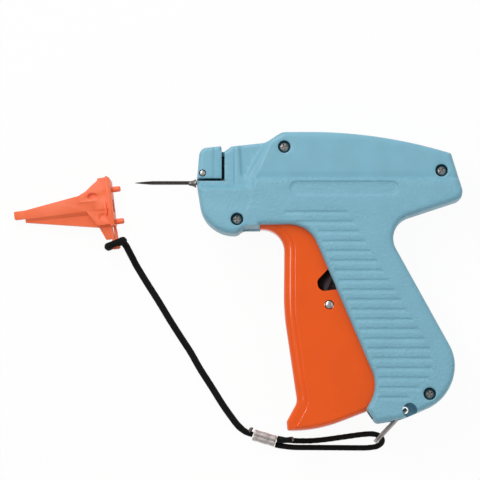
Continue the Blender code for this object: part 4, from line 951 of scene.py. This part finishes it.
class TAGGUN_OT_trigger(bpy.types.Operator):
    """Makes the trigger with its window, and its link pin"""

    bl_idname = "taggun.trigger"
    bl_label = "Trigger"

    def execute(self, context):
        edge = context.scene.gun_housing.trigger_edge / MM
        walled = [i < TRIGGER_ROUNDED for i in range(len(TRIGGER_OUTLINE))]
        strip_half = TRIGGER_HALF - 0.75
        levels, panel_levels = [], []
        for k in range(13):
            angle = math.radians(7.5 * k)
            levels.append((strip_half - edge * (1 - math.sin(angle)), 1.33 * edge * (1 - math.cos(angle))))
        lips = ((3.0, 0), (5.5, 0), (6.5, 0), (7.1, 0), (7.6, 0), (8.0, 0), (8.2, 0.05), (8.35, 0.2), (8.45, 0.4), (8.5, 0.7))
        for w, lip in lips:
            foot = min(2.5, max(0.0, w - strip_half + 2.2) * 0.82)
            panel_levels.append((w, lip, 2.8 - math.sqrt(2.6**2 - foot**2)))
        panel_levels.append((8.512, 1.2, panel_levels[-1][2] + 0.5))
        loops = []
        for w, inset in [(-w, inset) for w, inset in reversed(levels)] + levels:
            foot = 2.6 - math.sqrt(2.6**2 - (max(0.0, abs(w) - strip_half + 2.2) * 0.82) ** 2)
            front = [foot if i in TRIGGER_FOOT else min(inset, 2.1) if i in TRIGGER_TOE else inset for i in range(TRIGGER_ROUNDED)]
            outline = rounded(TRIGGER_OUTLINE, front + [0.0] * (len(TRIGGER_OUTLINE) - TRIGGER_ROUNDED), chord=2.0)
            loops.append([(p.x, p.y, w) for p in outline])
        body = stack("trigger_moulding", loops)
        loops = []
        for w, lip, inset in [(-w, lip, inset) for w, lip, inset in reversed(panel_levels)] + panel_levels:
            insets = [inset if i in PANEL_FOOT else lip if i in PANEL_FRONT else 0.05 for i in range(len(TRIGGER_PANEL))]
            insets[0] = insets[3] = min(lip, 0.8)
            loops.append([(p.x, p.y, w) for p in rounded(TRIGGER_PANEL, insets, chord=2.0)])
        join(body, stack("tool", loops))
        inner = TRIGGER_HALF - 2.2
        hollow = moved_corners(TRIGGER_OUTLINE, [2.2 if front else -6.0 for front in walled])
        cut(
            body,
            prism(rounded(hollow), -inner, inner),
            prism(rounded(WINDOW_OUTLINE), -20, 20),
            pin(LINK_PIN_AT, 2.15, -20, 20),
        )
        join(body, pin(TRIGGER_PIVOT, 2.5, -10.5, -7.5), pin(TRIGGER_PIVOT, 2.5, 7.5, 10.5))
        dress(body, finish("trigger"), "trigger", "orange_abs", "trigger")
        ends = [(-8.7, 1.3), (-8.4, 1.7), (-8.1, 1.85), (8.1, 1.85), (8.4, 1.7), (8.6, 1.3), (8.7, 0.6)]
        link = turned("link_pin_turned", LINK_PIN_AT, ends)
        dress(link, finish("steel"), "trigger", "steel", "trigger_link_pin")
        return {"FINISHED"}


# Needle, pins and screws


class TAGGUN_OT_needle(bpy.types.Operator):
    """Makes the slotted needle and the pin of the nose block"""

    bl_idname = "taggun.needle"
    bl_label = "Needle"

    def execute(self, context):
        opening, steps = math.radians(80), 28
        angles = [math.pi / 2 + opening / 2 + (math.tau - opening) * k / steps for k in range(steps + 1)]
        ring = [(0.9, a) for a in angles] + [(0.68, a) for a in reversed(angles)]
        loops = []
        for x, scale in ((-75.2, 0.12), (-74.0, 0.32), (-71.6, 0.62), (-69.0, 0.86), (-67.2, 1), (-52, 1), (-36.3, 1)):
            sink = -0.9 * (1 - scale) * 0.6
            loops.append([(x, NEEDLE_Y + scale * r * math.cos(a), sink + scale * r * math.sin(a)) for r, a in ring])
        tube = stack("needle_tube", loops)
        collar = bar(NEEDLE_Y - 0.25, 0, [(-50.4, 0.95), (-48.6, 1.35), (-47.4, 1.95), (-47.0, 1.95)])
        join(tube, cut(collar, bar(NEEDLE_Y, 0, [(-60, 0.8), (-40, 0.8)])))
        dress(tube, finish("needle"), "housing", "dark_steel", "needle")
        ends = [(-6.0, 1.0), (-5.7, 1.35), (9.7, 1.35), (10.0, 1.2), (10.2, 0.8)]
        dress(turned("nose_pin_turned", NOSE_PIN_AT, ends), finish("ring"), "housing", "steel", "nose_pin")
        return {"FINISHED"}


class TAGGUN_OT_screws(bpy.types.Operator):
    """Makes the four cross-head screws"""

    bl_idname = "taggun.screws"
    bl_label = "Screws"

    def execute(self, context):
        profile = [(-7.2, 0.65), (-5.7, 1.3), (8.25, 1.3), (8.3, 2.25), (9.1, 2.25), (9.4, 2.15), (9.65, 1.85), (9.8, 1.2)]
        for index, (name, at) in enumerate(SCREWS.items()):
            head = turned(name + "_turned", at, profile)
            turn = math.radians(20 + 35 * index)
            for k in range(2):
                along = Vector((math.cos(turn + k * math.pi / 2), math.sin(turn + k * math.pi / 2)))
                side = Vector((-along.y, along.x))
                centre = Vector(at)
                low = [centre + along * a + side * b for a, b in ((-1.0, -0.22), (1.0, -0.22), (1.0, 0.22), (-1.0, 0.22))]
                high = [centre + along * a + side * b for a, b in ((-1.5, -0.36), (1.5, -0.36), (1.5, 0.36), (-1.5, 0.36))]
                cut(head, stack("tool", [[(p.x, p.y, 8.6) for p in low], [(p.x, p.y, 10.1) for p in high]]))
            dress(head, finish("screw"), "housing", "dark_steel", name)
        return {"FINISHED"}


# Needle cap


def cap_pose():
    """Where the cap lies: turned in the plane, and tipped about its foot plate so that its tip rests too."""
    tilt = math.atan2(CAP_MID - 2.1, CAP_FOOT)
    hinge = Matrix.Translation(Vector((CAP_FOOT, 0, 0)) * MM)
    turn = Matrix.Translation(Vector((*CAP_AT, 0)) * MM) @ Matrix.Rotation(CAP_YAW, 4, "Z")
    return turn @ hinge @ Matrix.Rotation(-tilt, 4, "Y") @ hinge.inverted()


def cap_section(x, corners):
    """A cross-section of the cap from pairs of its own y and its height over the axis."""
    return [(x, y, CAP_MID - HALF + w) for y, w in corners]


def cap_square(x, low, high, half):
    return cap_section(x, [(low, -half), (high, -half), (high, half), (low, half)])


def cap_plate(corners, low, high):
    """A flat wall of the cap between two heights over its foot's lower edge."""
    return prism([Vector(p) for p in corners], low - HALF, high - HALF)


def cap_body():
    """The tapered body: flat on top, and below a crease its side slopes down to a flange."""
    loops = []
    for x, low, slope in ((4.9, -3.75, 1.2), (19.4, -6.5, 1.9), (37.8, -9.95, 2.6), (44.8, -9.95, 2.6)):
        half = 2.1 + 2.2 * (x - 4.7) / 40.1
        high = 1.75 + 0.141 * (x - 4.7)
        sunk = half - 0.7 - 0.5 * slope
        loops.append(
            cap_section(
                x,
                [
                    (low, 0.2 - half),
                    (high - 0.3, -half),
                    (high, 0.3 - half),
                    (high, half - 0.35),
                    (high - 0.35, half),
                    (-2.15, half),
                    (-2.15 - slope * 0.75, sunk),
                    (low + 0.15, sunk - 0.05),
                    (low, sunk - 0.25),
                ],
            )
        )
    return stack("needle_cap_moulding", loops)


class TAGGUN_OT_cap(bpy.types.Operator):
    """Makes the needle cap"""

    bl_idname = "taggun.cap"
    bl_label = "Needle cap"

    def execute(self, context):
        cap = cap_body()
        tip = [cap_square(x, -2.0 + i, 1.8 - i, 2.0 - i) for x, i in ((0, 0.3), (0.5, 0), (5.7, 0))]
        flare = [(30.0, 2), (45, 2), (45, 12.5), (40.4, 12.3), (40.3, 11.5), (39.6, 10.9), (37.8, 9.7), (34.3, 7.0), (31.1, 5.5)]
        tab = [(38.0, -9.0), (41.1, -16.1), (43.8, -16.1), (43.8, -19.5), (43.0, -20.2), (43.8, -20.9)]
        tab += [(46.4, -20.9), (47.2, -20.2), (46.4, -19.5), (46.4, -16.1), (45.0, -16.1), (44.4, -9.0)]
        join(
            cap,
            stack("tool", tip),
            cap_plate(flare, 4.8, 10.0),
            cap_plate([(33.6, -2.0), (37.9, -9.3), (45, -9.3), (45, -2.0)], 4.8, 9.7),
            cap_plate(tab, 4.9, 7.1),
            cap_plate([(45.0, -9.0), (45.0, -16.4), (46.5, -16.4), (46.4, -12.6), (45.9, -9.0)], 4.2, 6.0),
            cap_plate([(44.2, -10.2), (46.1, -10.2), (46.1, 10.6), (45.0, 12.8), (44.2, 12.8)], 0, 11.6),
            cap_plate([(42.4, -4.6), (43.3, -4.6), (43.1, 0.9), (42.2, 0.9)], 8.0, 10.9),
        )
        for y in (-8.3, 6.6):
            join(cap, bar(y, CAP_MID - HALF, [(45.1, 1.3), (49.7, 1.3), (50.2, 0.9)]))
        gate = [(37.3 + 2.3 * math.cos(a), 4.4 + 1.5 * math.sin(a)) for a in [math.tau * k / 24 for k in range(24)]]
        cut(
            cap,
            cap_plate(gate, 8.7, 12),
            cap_plate([(39.2, -6.6), (41.6, -6.6), (41.9, -4.2), (39.6, -4.0)], 9.1, 12),
            stack("tool", [cap_square(10.8, -1.65, -0.05, 0.8), cap_square(46.6, -3.85, 2.15, 3.0)]),
        )
        softened(cap, 0.25, 2)
        cap.data.transform(cap_pose())
        dress(cap, finish("cap"), "housing", "orange_polypropylene", "needle_cap")
        return {"FINISHED"}


# Wrist cord


def smooth_points(route, step):
    """Points about a step apart on a smooth curve through a route's own points."""
    knots = [Vector(p) for p in route]
    ends = [knots[0] * 2 - knots[1]] + knots + [knots[-1] * 2 - knots[-2]]
    points = [knots[0]]
    for a, b, c, d in zip(ends, ends[1:], ends[2:], ends[3:]):
        pieces = max(1, round((c - b).length / step))
        for k in range(1, pieces + 1):
            t = k / pieces
            points.append(
                0.5 * (2 * b + (c - a) * t + (2 * a - 5 * b + 4 * c - d) * t**2 + (3 * b - a - 3 * c + d) * t**3)
            )
    return points


def run_length(points):
    return sum((b - a).length for a, b in zip(points, points[1:]))


def braided_tube(name, points, radius, ends=(1.0, 1.0), closed_loop=False, swell=None):
    """A braided cord along points in mm over the surface: strands wind both ways, over and under.
    Swell gives a point's share of the radius from its share of the length."""
    sizes = bpy.context.scene.gun_cord
    pitch, strands, sides = sizes.braid_pitch / MM, sizes.strands, 5 * sizes.strands
    count = len(points)
    ways = []
    for k in range(count):
        before = points[k - 1] if closed_loop or k else points[0]
        after = points[(k + 1) % count] if closed_loop or k < count - 1 else points[-1]
        ways.append((after - before).normalized())
    side = ways[0].orthogonal().normalized()
    sides_at = []
    for way in ways:
        side = (side - way * side.dot(way)).normalized()
        sides_at.append(side)
    twist = 0.0
    if closed_loop:
        last = (sides_at[-1] - ways[0] * sides_at[-1].dot(ways[0])).normalized()
        twist = math.atan2(ways[0].dot(last.cross(sides_at[0])), last.dot(sides_at[0]))
    verts, run = [], 0.0
    whole = run_length(points) + ((points[0] - points[-1]).length if closed_loop else 0)
    turns = max(1, round(whole / (2 * pitch))) * 2
    for k, point in enumerate(points):
        if k:
            run += (point - points[k - 1]).length
        along = run / whole * turns
        across = ways[k].cross(sides_at[k])
        room = swell(run / whole) if swell else 1.0
        for share, reach in ((ends[0], run), (ends[1], whole - run)):
            if not closed_loop and share < 1 and reach < radius:
                room = min(room, share + (1 - share) * math.sqrt(max(0, 1 - (1 - reach / radius) ** 2)))
        for j in range(sides):
            angle = math.tau * j / sides + twist * k / count
            turn = j / sides * strands
            one, two = (turn + along / 2) % 1 - 0.5, (turn - along / 2) % 1 - 0.5
            over = math.cos(math.pi * along) * math.cos(math.tau * turn)
            rise = max((1 - 4 * one * one) * (0.75 + 0.25 * over), (1 - 4 * two * two) * (0.75 - 0.25 * over))
            reach = radius * room * (0.93 + 0.07 * rise)
            spot = point + (sides_at[k] * math.cos(angle) + across * math.sin(angle)) * reach
            verts.append((spot.x, spot.y, spot.z - HALF))
    faces = []
    for k in range(count if closed_loop else count - 1):
        for j in range(sides):
            a, b = k * sides, ((k + 1) % count) * sides
            faces.append((a + j, a + (j + 1) % sides, b + (j + 1) % sides, b + j))
    if not closed_loop:
        faces.append(tuple(reversed(range(sides))))
        faces.append(tuple(range((count - 1) * sides, count * sides)))
    return solid(name, verts, faces)


def knot_points(reach, rise):
    """The turn of cord round the neck of the cap's tab, a little askew."""
    pose = cap_pose()
    x, y = CAP_NECK
    found = []
    for k in range(110):
        angle = math.tau * k / 110
        across = reach * math.cos(angle)
        spot = Vector((x + across, y - 0.4 + 0.27 * across, CAP_MID + rise * math.sin(angle)))
        found.append((pose @ (spot * MM)) / MM)
    return found


class TAGGUN_OT_cords(bpy.types.Operator):
    """Makes the wrist cord: tether, loop, cut ends and the turn round the cap's eye"""

    bl_idname = "taggun.cords"
    bl_label = "Wrist cord"

    def execute(self, context):
        sizes = context.scene.gun_cord
        thick, thin = sizes.diameter / MM, sizes.loop_diameter / MM
        black = finish("cord")
        step = 0.25
        stubs = []
        for name, node, route in (("cord_tail_braid", "cord_tail", TAIL_ROUTE), ("cord_stub_braid", "cord_stub", STUB_ROUTE)):
            stub = braided_tube(name, smooth_points(route, step), thin / 2, (1.0, 0.35))
            stubs.append(dress(stub, black, "housing", "black_cord", node, crease=60))
            stub.data.materials.append(finish("sealed"))
            tip = Vector(route[-1]) * MM
            for face in stub.data.polygons:
                face.material_index = int((face.center - tip).length < 0.62 * thin * MM)
        reach, rise = 1.9 + thick / 2, 1.7 + thick / 2
        bulge = lambda share: 1.0 + 0.2 * abs(math.cos(math.tau * share)) ** 3
        knot = braided_tube("cap_knot_braid", knot_points(reach, rise), thick / 2, closed_loop=True, swell=bulge)
        root = Vector(TETHER_ROUTE[0])
        merged(knot, braided_tube("tool", smooth_points([(-81.3, 19.3, 6.0), (-80.3, 18.2, 6.1), root], step), thick / 2))
        dress(knot, black, "housing", "black_cord", "cap_knot", crease=60)
        cap = bpy.data.objects["needle_cap_moulding"]
        ferrule = bpy.data.objects["ferrule_crimped"]
        ring = bpy.data.objects["lanyard_ring_wire"]
        for name, node, route, width, held, far, pieces in (
            ("tether_braid", "tether_cord", TETHER_ROUTE[::-1], thick, 0.8, "fitting", [cap, knot]),
            ("loop_braid", "cord_loop", LOOP_ROUTE, thin, 1.0, "fitting", [ferrule, ring, *stubs]),
        ):
            path = smooth_points(route, step)
            whole = run_length(path)
            cord = braided_tube(
                name, path, width / 2, swell=lambda share: min(1.0, held + (1 - held) * share * whole / 7.0)
            )
            dress(cord, black, "housing", "black_cord", node, crease=60)
        return {"FINISHED"}


class TAGGUN_OT_cord_metal(bpy.types.Operator):
    """Makes the crimped ferrule and the lanyard ring"""

    bl_idname = "taggun.cord_metal"
    bl_label = "Ferrule and ring"

    def execute(self, context):
        start, end = FERRULE_ENDS
        along = (end - start).normalized()
        across = Vector((-along.y, along.x))
        half, top = 2.65, 5.4
        corners = [
            (-half, 0.15, 1.3),
            (half, 0.15, 1.3),
            (half, top, 1.5),
            (0.35, top, 0.3),
            (0.0, top - 0.9, 0.2),
            (-0.35, top, 0.3),
            (-half, top, 1.5),
        ]
        section = divided([rounded(corners, 0, math.radians(15), 0.6)], 0.5)[0]
        span = (end - start).length
        loops = []
        for k in range(41):
            share = k / 40
            pinch = sum(0.12 * math.exp(-(((share - at) * span / 1.4) ** 2)) for at in (0.26, 0.74))
            lip = 0.2 * max(0, 1 - min(share, 1 - share) * span / 0.4)
            loop = []
            for p in section:
                middle = Vector((0, top / 2))
                spot = middle + (p - middle) * (1 - (pinch + lip) / half)
                flat = start.lerp(end, share) + across * spot.x
                loop.append((flat.x, flat.y, max(spot.y, 0.15) - HALF))
            loops.append(loop)
        dress(stack("ferrule_crimped", loops), finish("ferrule"), "housing", "tinned_steel", "cord_ferrule")

        tilt, half, first, last = math.radians(18), 3.9, 3.4, 16.3
        way = RING_WAY
        flat_side = Vector((-way.y, way.x))
        local = []
        for middle, turn in ((first, math.pi / 2), (last, -math.pi / 2)):
            for k in range(33):
                angle = turn + math.pi * k / 32
                local.append((middle + half * math.cos(angle), half * math.sin(angle)))
        curve = bpy.data.curves.new("lanyard_ring_wire", "CURVE")
        curve.dimensions = "3D"
        curve.bevel_depth = 0.52 * MM
        curve.bevel_resolution = 4
        curve.use_fill_caps = True
        spline = curve.splines.new("POLY")
        # The wire starts and ends halfway down, so the part towards the cord is double.
        local = local + [(first + (last - first) * k / 24, half) for k in range(23, 0, -1)]
        local = [(s, t) for s, t in local]
        start = len(local) - 12
        path = [local[(start - k) % len(local)] for k in range(len(local) + 60)]
        spline.points.add(len(path) - 1)
        for k, slot in enumerate(spline.points):
            s, t = path[k]
            aside = 0.54 * min(1, max(-1, (2 * k / (len(path) - 1) - 1) * 2.2))
            flat = EYE_HOLE_AT + way * (s * math.cos(tilt) + t * math.sin(tilt)) + flat_side * aside
            slot.co = (flat.x * MM, flat.y * MM, (HALF - s * math.sin(tilt) + t * math.cos(tilt)) * MM, 1)
        ring = bpy.data.objects.new("lanyard_ring_wire", curve)
        context.scene.collection.objects.link(ring)
        dress(ring, finish("ring"), "housing", "tinned_steel", "lanyard_ring")
        return {"FINISHED"}


class TAGGUN_OT_inner_parts(bpy.types.Operator):
    """Gives the mechanism inside the housing its finishes"""

    bl_idname = "taggun.inner_parts"
    bl_label = "Mechanism"

    def execute(self, context):
        groups = {
            "steel": (
                "needle_base",
                "knife_blade",
                "lever_top_pin",
                "push_rod",
                "feed_pawl",
                "return_spring",
                "feed_axle",
                "feed_detent",
            ),
            "lever": ("lever_pivot_pin",),
            "acetal": ("slider", "feed_wheel"),
        }
        for name, nodes in groups.items():
            for node in nodes:
                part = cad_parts[node]
                part.data.materials.clear()
                part.data.materials.append(finish(name))
        lever = bpy.data.objects.new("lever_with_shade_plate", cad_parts["drive_lever"].data.copy())
        context.scene.collection.objects.link(lever)
        # Painted shade: a dark plate joined to the lever fills the trigger's window and stands in for the shade inside
        # it.
        x, y = LEVER_PIVOT
        turns = [math.radians(a) for a in range(85, 216, 5)]
        shade_plate = [(x, y)] + [(x + 9.6 * math.cos(a), y + 9.6 * math.sin(a)) for a in turns]
        join(lever, prism([Vector(p) for p in shade_plate], -2.2, 2.2))
        softened(lever, 0.25, 2)
        dress(lever, finish("lever"), "lever", "dark_steel", "drive_lever")
        return {"FINISHED"}


# Stage


class TAGGUN_OT_stage(bpy.types.Operator):
    """Makes the camera, the floor and the studio light"""

    bl_idname = "taggun.stage"
    bl_label = "Stage"

    view_width: FloatProperty(name="View", description="Width of the view at the gun", default=0.2208, unit="LENGTH")
    distance: FloatProperty(name="Distance", description="Camera from the gun", default=3.0, unit="LENGTH")
    lean: FloatProperty(
        name="Lean", description="Camera towards the grip's foot", default=math.radians(3.5), subtype="ANGLE"
    )

    def execute(self, context):
        scene = context.scene
        scene.view_settings.view_transform = "Standard"
        camera_data = bpy.data.cameras.new("camera")
        camera_data.sensor_width = 36
        camera_data.lens = 36 * self.distance / self.view_width
        camera = bpy.data.objects.new("camera", camera_data)
        away = Vector((0, -math.sin(self.lean), math.cos(self.lean)))
        camera.location = Vector((-26.9, 19.3, HALF)) * MM + away * self.distance
        camera.rotation_euler = (self.lean, 0, 0)
        scene.collection.objects.link(camera)
        scene.camera = camera

        mesh = bpy.data.meshes.new("floor")
        reach = 1.5
        mesh.from_pydata([(-reach, -reach, 0), (reach, -reach, 0), (reach, reach, 0), (-reach, reach, 0)], [], [(0, 1, 2, 3)])
        floor = bpy.data.objects.new("floor", mesh)
        scene.collection.objects.link(floor)
        mesh.materials.append(white_paper(scene.gun_finishes.floor))

        world = bpy.data.worlds.new("studio")
        world.use_nodes = True
        world.node_tree.nodes["Background"].inputs["Color"].default_value = (1, 1, 1, 1)
        world.node_tree.nodes["Background"].inputs["Strength"].default_value = 0.39
        scene.world = world
        for name, spot, wide, long, power in (
            ("key", (-0.34, 0.52, 0.72), 0.16, 1.2, 5.9),
            ("fill", (0.6, 0.1, 0.7), 0.6, 0.6, 0.9),
            ("low", (-0.1, -0.6, 0.5), 0.6, 0.6, 0.2),
        ):
            data = bpy.data.lights.new(name, "AREA")
            data.shape = "RECTANGLE"
            data.size, data.size_y = wide, long
            data.energy = power
            lamp = bpy.data.objects.new(name, data)
            lamp.location = spot
            back = (Vector(spot) - Vector((-0.02, 0.0, 0))).normalized()
            across = Vector((0, 1, 0)).cross(back).normalized()
            lamp.rotation_euler = Matrix((across, back.cross(across), back)).transposed().to_euler()
            scene.collection.objects.link(lamp)
        return {"FINISHED"}


class TAGGUN_PT_pieces(bpy.types.Panel):
    """Lists the pieces of the tagging gun"""

    bl_idname = "TAGGUN_PT_pieces"
    bl_label = "Tagging gun"
    bl_space_type = "VIEW_3D"
    bl_region_type = "UI"
    bl_category = "Tagging gun"

    def draw(self, context):
        for group in (context.scene.gun_housing, context.scene.gun_cord, context.scene.gun_finishes):
            for key in group.__annotations__:
                self.layout.prop(group, key)
        for operator in OPERATORS:
            self.layout.operator(operator.bl_idname)


GROUPS = {"gun_housing": HousingSizes, "gun_cord": CordSizes, "gun_finishes": Finishes}
OPERATORS = (
    TAGGUN_OT_stage,
    TAGGUN_OT_cap,
    TAGGUN_OT_cord_metal,
    TAGGUN_OT_cords,
    TAGGUN_OT_housing,
    TAGGUN_OT_trigger,
    TAGGUN_OT_needle,
    TAGGUN_OT_screws,
    TAGGUN_OT_inner_parts,
)


def register():
    for name, group in GROUPS.items():
        bpy.utils.register_class(group)
        setattr(bpy.types.Scene, name, PointerProperty(type=group))
    for kind in (*OPERATORS, TAGGUN_PT_pieces):
        bpy.utils.register_class(kind)


def unregister():
    for kind in (TAGGUN_PT_pieces, *reversed(OPERATORS)):
        bpy.utils.unregister_class(kind)
    for name, group in GROUPS.items():
        delattr(bpy.types.Scene, name)
        bpy.utils.unregister_class(group)


def main():
    register()
    for operator in OPERATORS:
        family, name = operator.bl_idname.split(".")
        getattr(getattr(bpy.ops, family), name)()


if __name__ == "__main__":
    main()
